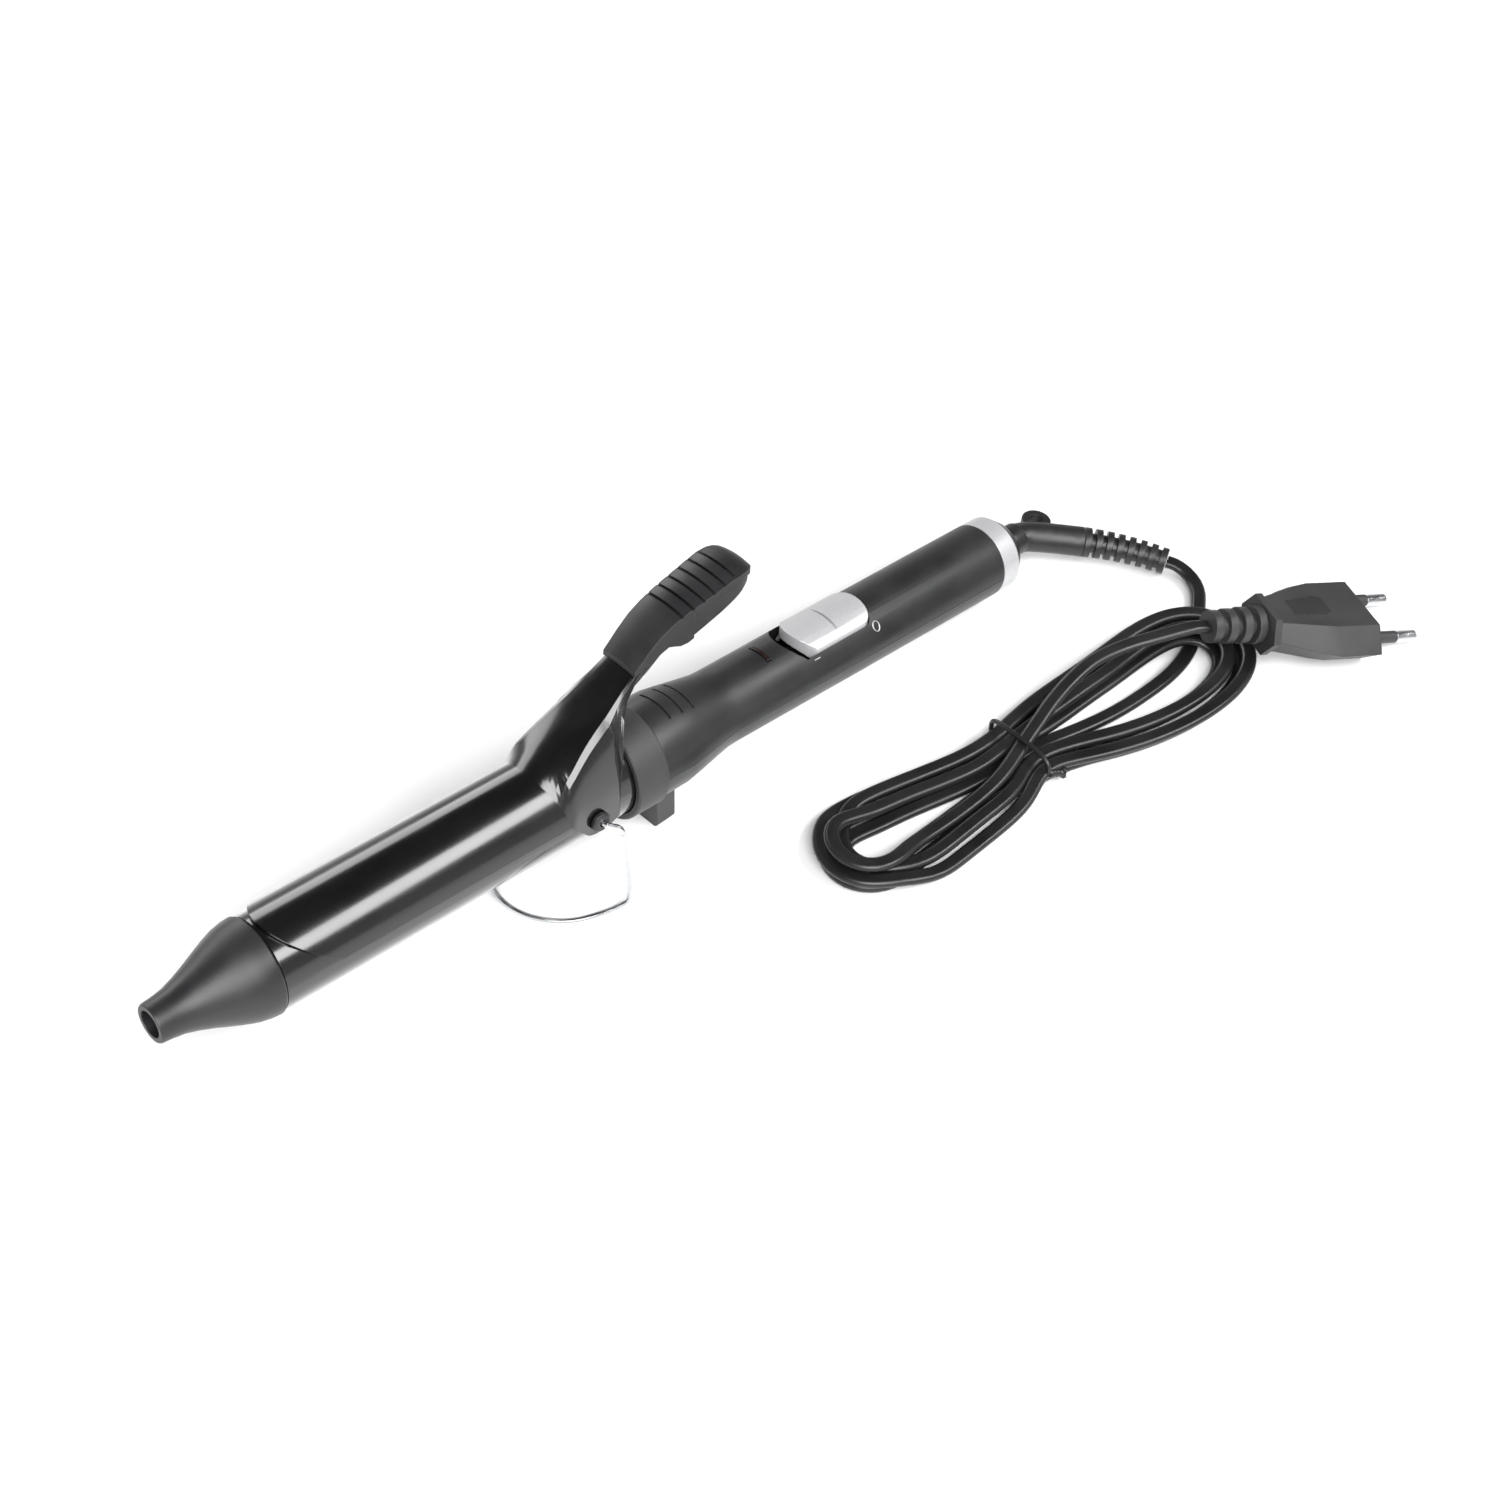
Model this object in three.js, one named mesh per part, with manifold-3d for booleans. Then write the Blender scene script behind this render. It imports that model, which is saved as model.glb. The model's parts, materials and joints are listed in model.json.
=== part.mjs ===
// A clamp-type curling iron at rest on a table, with its mains lead tied in a hank.
// Millimetres, +Z up, the table at z = 0, the origin in the middle of the heel's flat underside.
// +X runs from the cool tip to the cord. The iron is modelled in a tilted group of its own,
// where x is the distance from the tip's end, y the far side and z the height above the barrel's axis.
import * as THREE from 'three';
import { mergeVertices } from 'three/addons/utils/BufferGeometryUtils.js';
import Module from 'manifold-3d';

const wasm = await Module();
wasm.setup();

// ---- Driving dimensions -------------------------------------------------------------------------
// Every length but the plug's is drawn for a 32 mm barrel, and SIZE brings the whole to the 28 mm one.
const SIZE = 28 / 32;
const GAP = 0.35; // between pieces that fit together
const TILT = THREE.MathUtils.degToRad(5.43); // the tip stands higher than the cord end

const BARREL_RADIUS = 16;
const BARREL_WALL = 0.8;
const BARREL_LENGTH = 137.4; // what shows between the nose and the collar
const NOSE_LENGTH = 37;
const NOSE_TIP_RADIUS = 6.6;
const COLLAR_LENGTH = 13;
const COLLAR_WALL = 2.2;
const HANDLE_LENGTH = 170.4;
const HANDLE_RADIUS = 14.2;
const HANDLE_WALL = 2.3;
const GRIP_WALL = 1.2; // of the wide grooved front of the handle
const RING_LENGTH = 8.5;

const CLIP_WALL = 0.8;
const CLIP_AIR = 0.6; // between the closed clip and the barrel
const CLIP_EDGE = THREE.MathUtils.degToRad(80); // from the crown down to the clip's long edge
const CREASE_AHEAD = 16.5; // of the pivot, where the clip bends up into its lever
const PIVOT_AHEAD = 17; // of the collar
const THUMB_WIDTH = 18.8;

const WIRE_RADIUS = 1;
const STAND_WIDTH = 55;
const STAND_FOOT = 31; // how far the foot reaches forwards
const RIVET_RADIUS = 1.9;
const RIVET_HEAD_RADIUS = 3.6;

const HEEL_BACK = 4.7; // from the front of the handle to the middle of the heel
const HEEL_LENGTH = 8;
const HEEL_WIDTH = 18;

const SLIDER_LENGTH = 33.5;
const SLIDER_WIDTH = 19;
const SLIDER_TRAVEL = 5;
const SLIDER_BACK = 70.8; // from the front of the handle to the slider's front
const LENS_BACK = 56.6;
const LENS_WIDTH = 9;
const LENS_LENGTH = 1.6;

const SWIVEL_RADIUS = 4.9;
const SLEEVE_RADIUS = 5.7;
const CORD_RADIUS = 2.2; // of the plain tube that stands for the flat twin lead

// ---- Stations along the iron, from the tip ------------------------------------------------------
const collarAt = NOSE_LENGTH + BARREL_LENGTH;
const handleAt = collarAt + COLLAR_LENGTH + GAP;
const ringAt = handleAt + HANDLE_LENGTH + GAP;
const endAt = ringAt + RING_LENGTH;
const pivotAt = collarAt - PIVOT_AHEAD;
const barrelEndAt = handleAt + 12.5;

const barrelInside = BARREL_RADIUS - BARREL_WALL;
const collarOutside = BARREL_RADIUS + GAP + COLLAR_WALL;
const gripOutside = BARREL_RADIUS + GAP + GRIP_WALL;
const handleInside = HANDLE_RADIUS - HANDLE_WALL;
const clipInside = BARREL_RADIUS + CLIP_AIR;
const clipOutside = clipInside + CLIP_WALL;

// ---- Solids: cutting and joining ----------------------------------------------------------------
const MELT = 0.004; // edges shorter than this are merged

function toSolid(geometry) {
  const bare = geometry.clone();
  bare.deleteAttribute('normal');
  bare.deleteAttribute('uv');
  const merged = mergeVertices(bare, 1e-4);
  const mesh = new wasm.Mesh({
    numProp: 3,
    vertProperties: new Float32Array(merged.attributes.position.array),
    triVerts: new Uint32Array(merged.index.array),
  });
  return new wasm.Manifold(mesh);
}

function toGeometry(solid) {
  const mesh = solid.simplify(MELT).getMesh();
  const geometry = new THREE.BufferGeometry();
  geometry.setAttribute('position', new THREE.BufferAttribute(mesh.vertProperties, 3));
  geometry.setIndex(new THREE.BufferAttribute(mesh.triVerts, 1));
  return geometry;
}

const join = (first, ...others) =>
  toGeometry(others.reduce((sum, other) => sum.add(toSolid(other)), toSolid(first)));
const cut = (first, ...others) =>
  toGeometry(others.reduce((sum, other) => sum.subtract(toSolid(other)), toSolid(first)));
const common = (first, ...others) =>
  toGeometry(others.reduce((sum, other) => sum.intersect(toSolid(other)), toSolid(first)));

// ---- Solids: basic forms ------------------------------------------------------------------------
// A solid of revolution about the x axis. Each point is [x, radius], in order around the section.
function turned(points, segments = 40) {
  const profile = points.map(([x, radius]) => new THREE.Vector2(radius, x));
  return new THREE.LatheGeometry(profile, segments).rotateZ(-Math.PI / 2);
}

// A ring about the x axis, from x0 to x1, between two radii.
function ring(x0, x1, inside, outside, segments = 40) {
  return turned([[x0, inside], [x0, outside], [x1, outside], [x1, inside], [x0, inside]], segments);
}

// A solid cylinder along x, y or z from its first end to its second.
function rod(axis, from, to, radius, segments = 16) {
  const body = new THREE.CylinderGeometry(radius, radius, to - from, segments);
  if (axis === 'x') body.rotateZ(-Math.PI / 2);
  if (axis === 'z') body.rotateX(Math.PI / 2);
  const middle = (from + to) / 2;
  return body.translate(axis === 'x' ? middle : 0, axis === 'y' ? middle : 0, axis === 'z' ? middle : 0);
}

// A block between two corners.
function block(x0, x1, y0, y1, z0, z1) {
  const body = new THREE.BoxGeometry(x1 - x0, y1 - y0, z1 - z0);
  return body.translate((x0 + x1) / 2, (y0 + y1) / 2, (z0 + z1) / 2);
}

function outline(points) {
  return new THREE.Shape(points.map(([a, b]) => new THREE.Vector2(a, b)));
}

// A plan outline in x and y, extruded up from z0 to z1.
function plate(shape, z0, z1, curveSegments = 10) {
  const settings = { depth: z1 - z0, bevelEnabled: false, curveSegments };
  return new THREE.ExtrudeGeometry(shape, settings).translate(0, 0, z0);
}

// A side outline in x and z, extruded across y from -half to +half.
function profiled(shape, half) {
  const settings = { depth: 2 * half, bevelEnabled: false, curveSegments: 8 };
  return new THREE.ExtrudeGeometry(shape, settings).rotateX(Math.PI / 2).translate(0, half, 0);
}

const smooth = (points) =>
  new THREE.CatmullRomCurve3(points.map((p) => new THREE.Vector3(...p)), false, 'centripetal');

// A round tube along a smooth curve through the points.
function tube(points, radius, steps, sides = 8) {
  const path = smooth(points);
  const corners = Array.from({ length: sides }, (_, i) => {
    const angle = (2 * Math.PI * i) / sides;
    return [radius * Math.cos(angle), radius * Math.sin(angle)];
  });
  return new THREE.ExtrudeGeometry(outline(corners), { steps, bevelEnabled: false, extrudePath: path });
}

// A sheet of even thickness under a grid of points on its outer side, rows along x and columns across.
function sheet(rows, thickness) {
  const count = rows[0].length;
  const at = (i, j) => rows[Math.min(Math.max(i, 0), rows.length - 1)][Math.min(Math.max(j, 0), count - 1)];
  const inner = rows.map((row, i) => row.map((point, j) => {
    const along = at(i + 1, j).clone().sub(at(i - 1, j));
    const across = at(i, j + 1).clone().sub(at(i, j - 1));
    return point.clone().addScaledVector(across.cross(along).normalize(), thickness);
  }));
  const points = [...rows.flat(), ...inner.flat()];
  const under = rows.length * count;
  const faces = [];
  const quad = (a, b, c, d) => faces.push(a, b, c, a, c, d);
  for (let i = 0; i < rows.length - 1; i += 1) {
    for (let j = 0; j < count - 1; j += 1) {
      const a = i * count + j;
      const b = a + count;
      quad(a, b, b + 1, a + 1);
      quad(under + a, under + a + 1, under + b + 1, under + b);
    }
    const left = i * count;
    const right = left + count - 1;
    quad(left, under + left, under + left + count, left + count);
    quad(right, right + count, under + right + count, under + right);
  }
  const last = (rows.length - 1) * count;
  for (let j = 0; j < count - 1; j += 1) {
    quad(j, j + 1, under + j + 1, under + j);
    quad(last + j, under + last + j, under + last + j + 1, last + j + 1);
  }
  const geometry = new THREE.BufferGeometry().setFromPoints(points);
  geometry.setIndex(faces);
  return geometry;
}

// ---- Materials and placing ----------------------------------------------------------------------
const FINISHES = {
  glossBlack: { color: 0x141416, roughness: 0.15, metalness: 0.5 },
  satinBlack: { color: 0x1d1d1f, roughness: 0.5, metalness: 0 },
  collarGrey: { color: 0x2a2a2c, roughness: 0.6, metalness: 0 },
  silver: { color: 0xc4c5c6, roughness: 0.35, metalness: 0.2 },
  steel: { color: 0xd2d4d6, roughness: 0.22, metalness: 1 },
  aluminium: { color: 0xb4b6b8, roughness: 0.5, metalness: 1 },
  ceramic: { color: 0xe6e2da, roughness: 0.8, metalness: 0 },
  brass: { color: 0xc9a45a, roughness: 0.35, metalness: 1 },
  cord: { color: 0x191919, roughness: 0.6, metalness: 0 },
  plug: { color: 0x2b2b2d, roughness: 0.6, metalness: 0 },
  lens: { color: 0x30262a, roughness: 0.2, metalness: 0 },
};

const part = new THREE.Group();
const iron = new THREE.Group();
part.add(iron);

function place(group, name, geometry, finish) {
  const mesh = new THREE.Mesh(geometry, new THREE.MeshStandardMaterial(FINISHES[finish]));
  mesh.name = name;
  group.add(mesh);
}

// The iron stands on the lower edge of its end ring, and the heel's middle is over the origin.
const tipHeight = endAt * Math.sin(TILT) + HANDLE_RADIUS * Math.cos(TILT);
const heelAt = handleAt + HEEL_BACK;
iron.rotation.y = TILT;
iron.position.set(-heelAt, 0, tipHeight);
iron.updateMatrix();
const onTable = (x, y, z) => new THREE.Vector3(x, y, z).applyMatrix4(iron.matrix);

// ---- Cool tip and barrel ------------------------------------------------------------------------
const SCREW_FLOOR = 20; // depth of the screw's well in the tip
const SPIGOT_LENGTH = 7.5; // of the nose, inside the barrel
const discAt = NOSE_LENGTH + SPIGOT_LENGTH + 2;

function coolTip() {
  const shoulder = BARREL_RADIUS + 0.6;
  const spigot = barrelInside - GAP;
  const rise = (share) => NOSE_TIP_RADIUS + share * (shoulder - NOSE_TIP_RADIUS);
  return turned([
    [SCREW_FLOOR, 4.6], [0, 4.6], [0, NOSE_TIP_RADIUS - 0.4], [0.6, NOSE_TIP_RADIUS],
    [NOSE_LENGTH * 0.11, rise(0.03)], [NOSE_LENGTH * 0.22, rise(0.09)], [NOSE_LENGTH * 0.33, rise(0.215)],
    [NOSE_LENGTH * 0.45, rise(0.38)], [NOSE_LENGTH * 0.57, rise(0.57)], [NOSE_LENGTH * 0.69, rise(0.75)],
    [NOSE_LENGTH * 0.805, rise(0.9)], [NOSE_LENGTH * 0.91, rise(0.98)], [NOSE_LENGTH - 0.7, shoulder],
    [NOSE_LENGTH, shoulder - 0.5], [NOSE_LENGTH, spigot], [NOSE_LENGTH + SPIGOT_LENGTH, spigot],
    [NOSE_LENGTH + SPIGOT_LENGTH, spigot - 1.7], [NOSE_LENGTH - 4, spigot - 1.7],
    [SCREW_FLOOR + 5, 7.5], [SCREW_FLOOR + 4, 1.9], [SCREW_FLOOR, 1.9], [SCREW_FLOOR, 4.6],
  ]);
}

function tipScrew() {
  const head = SCREW_FLOOR - GAP;
  return turned([
    [head - 2.4, 0], [head - 2.4, 2.6], [head - 1.6, 3.4], [head, 3.4], [head, 1.55], [discAt + 6, 1.55],
    [discAt + 7, 0.9], [discAt + 7, 0],
  ], 16);
}

function frontDisc() {
  return turned([
    [discAt, 1.85], [discAt, barrelInside - GAP], [discAt + 2.5, barrelInside - GAP], [discAt + 2.5, 4.2],
    [discAt + 8, 4.2], [discAt + 8, 1.85], [discAt, 1.85],
  ], 32);
}

function barrelTube() {
  const shell = ring(NOSE_LENGTH + GAP, barrelEndAt, barrelInside, BARREL_RADIUS, 48);
  const holes = rod('y', -2 * BARREL_RADIUS, 2 * BARREL_RADIUS, RIVET_RADIUS + 0.2).translate(pivotAt, 0, 0);
  return cut(shell, holes);
}

const heaterFrom = discAt + 12;
const heaterTo = pivotAt - 22;
const CELL_THICKNESS = 3;

// Half of the aluminium former that carries heat from the cell to the barrel, hollow inside.
function heatSpreader(side) {
  const radius = barrelInside - GAP;
  const flat = CELL_THICKNESS / 2 + GAP;
  const edge = Math.asin(flat / radius);
  const shape = new THREE.Shape();
  shape.absarc(0, 0, radius, edge, Math.PI - edge, false);
  const hole = new THREE.Path();
  const inner = radius - 2;
  const innerEdge = Math.asin((flat + 2) / inner);
  hole.absarc(0, 0, inner, innerEdge, Math.PI - innerEdge, false);
  shape.holes.push(hole);
  const depth = heaterTo - heaterFrom;
  const body = new THREE.ExtrudeGeometry(shape, { depth, bevelEnabled: false, curveSegments: 10 });
  body.rotateX(Math.PI / 2).rotateZ(Math.PI / 2).translate(heaterFrom, 0, 0);
  if (side < 0) body.rotateX(Math.PI);
  return body;
}

function heaterCell() {
  const half = CELL_THICKNESS / 2;
  return block(heaterFrom + 3, heaterTo - 3, -10, 10, -half, half);
}

const wireLane = 0.4 * barrelInside; // heater and supply wires run this far either side of the axis
const bushAt = barrelEndAt - 12;

function barrelBush() {
  return ring(bushAt, barrelEndAt - 1, barrelInside - GAP - 5.5, barrelInside - GAP, 32);
}

function addBarrel() {
  place(iron, 'cool_tip', coolTip(), 'satinBlack');
  place(iron, 'tip_screw', tipScrew(), 'steel');
  place(iron, 'front_disc', frontDisc(), 'ceramic');
  place(iron, 'barrel_tube', barrelTube(), 'glossBlack');
  place(iron, 'heat_spreader_upper', heatSpreader(1), 'aluminium');
  place(iron, 'heat_spreader_lower', heatSpreader(-1), 'aluminium');
  place(iron, 'heater_cell', heaterCell(), 'ceramic');
  place(iron, 'thermal_fuse', rod('x', heaterTo + 4, heaterTo + 15, 1.9, 12).translate(0, 0, 5), 'ceramic');
  place(iron, 'barrel_bush', barrelBush(), 'ceramic');
}

// ---- Clip, lever and thumb rest -----------------------------------------------------------------
const creaseAt = pivotAt - CREASE_AHEAD;
const CLIP_FRONT_AIR = 1.2; // between the nose and the clip's front edge
const FRONT_SWEEP = 9.6; // how fast the front corners are rounded off, per radian squared
const WEB_SHARE = 0.45; // of a section's columns that lie on the lever's flat top
const COLUMNS = 24;
const BETWEEN_SECTIONS = 3;
const EAR_DROP = 5.5; // the ears reach this far below the axis
const EAR_BACK = 9.3; // from the pivot to the ears' rear edge

// The lever's sections, from the crease back. along: from the pivot; rise: of its top over the clip's crown;
// dome: how much lower its edges are; half: half its flat width; out and low: the foot of its side wall,
// out from the axis and up from it.
const LEVER = [
  { along: -9.8, rise: 4.2, dome: 4.3, half: 13, out: clipOutside, low: 0.9 },
  { along: -7, rise: 5.8, dome: 3.2, half: 12.4, out: clipOutside, low: -1.5 },
  { along: -4, rise: 7.6, dome: 2.3, half: 11.6, out: clipOutside, low: -4.6 },
  { along: 0, rise: 10.1, dome: 1.5, half: 10.6, out: clipOutside, low: -EAR_DROP },
  { along: 4.5, rise: 12.9, dome: 1, half: 9.8, out: clipOutside, low: -5 },
  { along: EAR_BACK - 0.3, rise: 15.6, dome: 0.8, half: 9.1, out: clipOutside, low: -3.2 },
  { along: EAR_BACK, rise: 15.8, dome: 0.8, half: 9.1, out: clipOutside, low: clipOutside - 1.4 },
  { along: EAR_BACK + 2, rise: 17.1, dome: 0.7, half: 8.7, out: clipOutside - 2, low: clipOutside + 6.1 },
  { along: 14, rise: 19, dome: 0.6, half: 8.2, out: 12.4, low: clipOutside + 13.6 },
  { along: 17.5, rise: 21.4, dome: 0.5, half: 7.6, out: 9.6, low: clipOutside + 18.4 },
  { along: 22.5, rise: 25.1, dome: 0.5, half: 7, out: 8, low: clipOutside + 22.5 },
  { along: 27.5, rise: 29.4, dome: 0.5, half: 6.6, out: 7.4, low: clipOutside + 27 },
  { along: 32.5, rise: 33.4, dome: 0.5, half: 6.5, out: 7.3, low: clipOutside + 31 },
  { along: 40, rise: 37.4, dome: 0.5, half: 6.5, out: 7.3, low: clipOutside + 35 },
  { along: 50, rise: 40.6, dome: 0.5, half: 6.5, out: 7.3, low: clipOutside + 38.2 },
  { along: 64, rise: 44.6, dome: 0.5, half: 6.2, out: 7, low: clipOutside + 42.2 },
];

// Where a column of a section lies: -1 and 1 are its feet, 0 its crown.
const columns = Array.from({ length: COLUMNS + 1 }, (_, j) => (2 * j) / COLUMNS - 1);

function shellPoint(t, u) {
  const share = Math.abs(t);
  const web = Math.asin(14 / clipOutside);
  const angle = share < WEB_SHARE
    ? (share / WEB_SHARE) * web
    : web + ((share - WEB_SHARE) / (1 - WEB_SHARE)) * (CLIP_EDGE - web);
  const y = clipOutside * Math.sin(angle);
  const front = NOSE_LENGTH + CLIP_FRONT_AIR + FRONT_SWEEP * angle * angle;
  const crease = creaseAt + 3.4 * (y / 14) ** 2;
  return new THREE.Vector3(front + u * (crease - front), Math.sign(t) * y, clipOutside * Math.cos(angle));
}

function leverPoint(t, row) {
  const share = Math.abs(t);
  const crown = clipOutside + row.rise;
  if (share < WEB_SHARE) {
    const q = share / WEB_SHARE;
    return new THREE.Vector3(pivotAt + row.along, Math.sign(t) * q * row.half, crown - row.dome * q * q);
  }
  const q = (share - WEB_SHARE) / (1 - WEB_SHARE);
  const high = crown - row.dome;
  const bulge = Math.max(row.low, high - 1.2 * (row.out - row.half));
  const y = (1 - q) * (1 - q) * row.half + (1 - (1 - q) * (1 - q)) * row.out;
  const z = (1 - q) * (1 - q) * high + 2 * q * (1 - q) * bulge + q * q * row.low;
  return new THREE.Vector3(pivotAt + row.along, Math.sign(t) * y, z);
}

// The same run of sections with more between them, each column following a smooth line.
function refined(rows, between) {
  const lines = columns.map((_, j) => new THREE.CatmullRomCurve3(rows.map((row) => row[j]), false, 'centripetal'));
  const steps = (rows.length - 1) * between;
  return Array.from({ length: steps + 1 }, (_, i) => lines.map((line) => line.getPoint(i / steps)));
}

// The whole pressed sheet, or a thicker copy of it that leaves room for it in the thumb rest.
function clipSheet(extra = 0) {
  const shell = [0, 0.33, 0.67, 0.985].map((u) => columns.map((t) => shellPoint(t, u)));
  const lever = LEVER.map((row) => {
    const grown = { ...row, rise: row.rise + extra, half: row.half + extra, out: row.out + extra };
    grown.low -= extra;
    return columns.map((t) => leverPoint(t, grown));
  });
  const crease = columns.map((t) => shellPoint(t, 1));
  const ears = LEVER.findIndex((row) => row.along === EAR_BACK);
  const rise = refined([crease, ...lever.slice(0, ears)], BETWEEN_SECTIONS);
  if (extra === 0) return sheet([...shell, ...rise, ...lever.slice(ears)], CLIP_WALL);
  const tongue = lever.slice(-8);
  const beyond = tongue[tongue.length - 1].map((p) => p.clone().setX(p.x + extra));
  return sheet([...tongue, beyond], CLIP_WALL + 2 * extra);
}

function clipShell() {
  const hole = rod('y', -2 * clipOutside, 2 * clipOutside, RIVET_RADIUS + GAP).translate(pivotAt, 0, 0);
  return cut(clipSheet(), hole);
}

const COVER_FRONT = 22; // from the pivot to the thumb rest's front edge
const COVER_END = 75;
const GROOVES = 6;
const GROOVE_PITCH = 4.4;
const RIM_FROM = 46.5; // from the pivot to where the thumb rest's rim begins to overhang its flanks
const RIM_OVERHANG = 0.8;
const COVER_DOME = 0.8; // how much the thumb rest is raised along its middle
const COVER_FALL = 0.018; // and falls away to its sides, per mm squared

// The side outline drawn across y, highest over the axis and falling away to both sides.
function domed(shape, half) {
  const settings = { depth: 2 * half, steps: 24, bevelEnabled: false };
  const body = new THREE.ExtrudeGeometry(shape, settings).rotateX(Math.PI / 2).translate(0, half, 0);
  const { position } = body.attributes;
  for (let i = 0; i < position.count; i += 1) {
    position.setZ(i, position.getZ(i) + COVER_DOME - COVER_FALL * position.getY(i) ** 2);
  }
  return body;
}

// The thumb rest seen from above, with its flanks brought in by an inset.
function coverPlan(inset) {
  const half = THUMB_WIDTH / 2 - inset;
  const end = pivotAt + COVER_END - inset;
  const plan = new THREE.Shape();
  plan.moveTo(pivotAt + COVER_FRONT - 1, -7.6 + inset);
  plan.lineTo(pivotAt + 42, -THUMB_WIDTH * 0.45 + inset);
  plan.quadraticCurveTo(pivotAt + 58, -half, pivotAt + 64, -half);
  plan.bezierCurveTo(pivotAt + 71, -half, end, -half * 0.6, end, 0);
  plan.bezierCurveTo(end, half * 0.6, pivotAt + 71, half, pivotAt + 64, half);
  plan.quadraticCurveTo(pivotAt + 58, half, pivotAt + 42, THUMB_WIDTH * 0.45 - inset);
  plan.lineTo(pivotAt + COVER_FRONT - 1, 7.6 - inset);
  return plan;
}

function thumbCover() {
  const at = (along, rise) => [pivotAt + along, clipOutside + rise];
  const side = outline([
    at(COVER_FRONT, 21.1), at(COVER_FRONT, 26.6), at(27.5, 32), at(32.5, 36.2), at(37.5, 38.9), at(42.5, 40.9),
    at(47.5, 42.3), at(52.5, 43.6), at(57.5, 45), at(62.5, 46.3), at(67, 46.7), at(69.4, 46.4), at(71.3, 45.6),
    at(72.8, 44.5), at(73.9, 43.2), at(COVER_END - 0.3, 41.8), at(COVER_END, 40.9), at(73.6, 40), at(70, 39.8),
    at(59.2, 34.6), at(47.5, 30),
    at(44, 28.8), at(41, 28.8), at(38.6, 29.8), at(36, 30.7), at(32.5, 29.3), at(27.5, 25.1),
  ]);
  const flank = outline([
    at(RIM_FROM, 39.1), at(52.5, 40.9), at(57.5, 42.4), at(64, 44), at(68.5, 44), at(71, 42.8), at(73, 41),
    at(COVER_END + 2, 38), at(COVER_END + 2, 20), at(RIM_FROM, 20),
  ]);
  const recess = cut(profiled(flank, THUMB_WIDTH), plate(coverPlan(RIM_OVERHANG), 0, 4 * clipOutside));
  const body = common(domed(side, THUMB_WIDTH), plate(coverPlan(0), 0, 4 * clipOutside));
  const grooves = Array.from({ length: GROOVES }, (_, i) => {
    const groove = block(-0.5, 0.5, -THUMB_WIDTH, THUMB_WIDTH, -0.9, 3).rotateY(-0.27);
    const along = 41 + i * GROOVE_PITCH;
    return groove.translate(pivotAt + along, 0, clipOutside + 40.4 + (along - 41) * 0.28);
  });
  return cut(body, clipSheet(GAP), recess, ...grooves);
}

function clipSpring() {
  const base = clipInside + 0.1;
  const strip = outline([
    [pivotAt + 1, base], [pivotAt + 12, base], [pivotAt + 13.4, base + 1], [pivotAt + 11.5, base + 15.6],
    [pivotAt + 10.9, base + 15.6], [pivotAt + 12.7, base + 1.2], [pivotAt + 11.8, base + 0.6],
    [pivotAt + 1, base + 0.6],
  ]);
  return profiled(strip, 4);
}

function addClip() {
  place(iron, 'clip_shell', clipShell(), 'glossBlack');
  place(iron, 'thumb_cover', thumbCover(), 'satinBlack');
  place(iron, 'clip_spring', clipSpring(), 'steel');
}

// ---- Pivot rivets and wire stand ----------------------------------------------------------------
// A hollow rivet through the ear and the barrel. The stand's wire end turns in its bore.
function rivet(side) {
  const bore = WIRE_RADIUS + 0.25;
  const inner = Math.sqrt(barrelInside ** 2 - 9) - GAP;
  const outer = clipOutside + GAP;
  const body = turned([
    [inner - 1.2, bore], [inner - 1.2, 3], [inner, 3], [inner, RIVET_RADIUS], [outer, RIVET_RADIUS],
    [outer, RIVET_HEAD_RADIUS], [outer + 1.2, RIVET_HEAD_RADIUS], [outer + 1.8, RIVET_HEAD_RADIUS - 0.8],
    [outer + 1.8, bore], [inner - 1.2, bore],
  ], 20);
  return body.rotateZ((side * Math.PI) / 2).translate(pivotAt, 0, 0);
}

function standWire() {
  const pivot = onTable(pivotAt, 0, 0);
  const inside = barrelInside - 3.4;
  const outside = clipOutside + GAP + 2.6;
  const half = STAND_WIDTH / 2;
  const corner = { x: pivot.x + 2.9, z: WIRE_RADIUS + 0.1 };
  const near = [
    [pivot.x, inside, pivot.z], [pivot.x, outside - 3, pivot.z], [pivot.x, outside - 0.6, pivot.z],
    [pivot.x + 1.4, outside + 0.9, pivot.z - 0.8], [pivot.x + 4.6, outside + 1.6, pivot.z - 3.6],
    [pivot.x + 5.7, outside + 2.2, pivot.z - 6.4], [pivot.x + 5.2, outside + 3.6, pivot.z / 2 + 2],
    [corner.x + 0.3, half - 0.4, 4.4], [corner.x - 0.7, half, 1.9], [corner.x - 2.4, half - 0.1, 1.2],
    [corner.x - 5, half - 0.4, corner.z],
  ];
  const arc = Array.from({ length: 7 }, (_, i) => {
    const angle = (Math.PI * (i + 2)) / 10;
    return [corner.x - STAND_FOOT * Math.sin(angle), half * Math.cos(angle), corner.z];
  });
  const mirror = near.map(([x, y, z]) => [x, -y, z]).reverse();
  return tube([...near, ...arc, ...mirror], WIRE_RADIUS, 80);
}

function addPivot() {
  place(iron, 'pivot_rivet_left', rivet(1), 'satinBlack');
  place(iron, 'pivot_rivet_right', rivet(-1), 'satinBlack');
  place(part, 'stand_wire', standWire(), 'steel');
}

// ---- Collar and handle --------------------------------------------------------------------------
const SCREWS_BACK = [38.5, 134]; // from the front of the handle
const SPLIT = 0.1; // each shell stops this short of the handle's middle plane
const BOSS_RADIUS = 3.5;
const SCREW_RADIUS = 1.4;
const SCREW_HEAD_RADIUS = 2.8;

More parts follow.
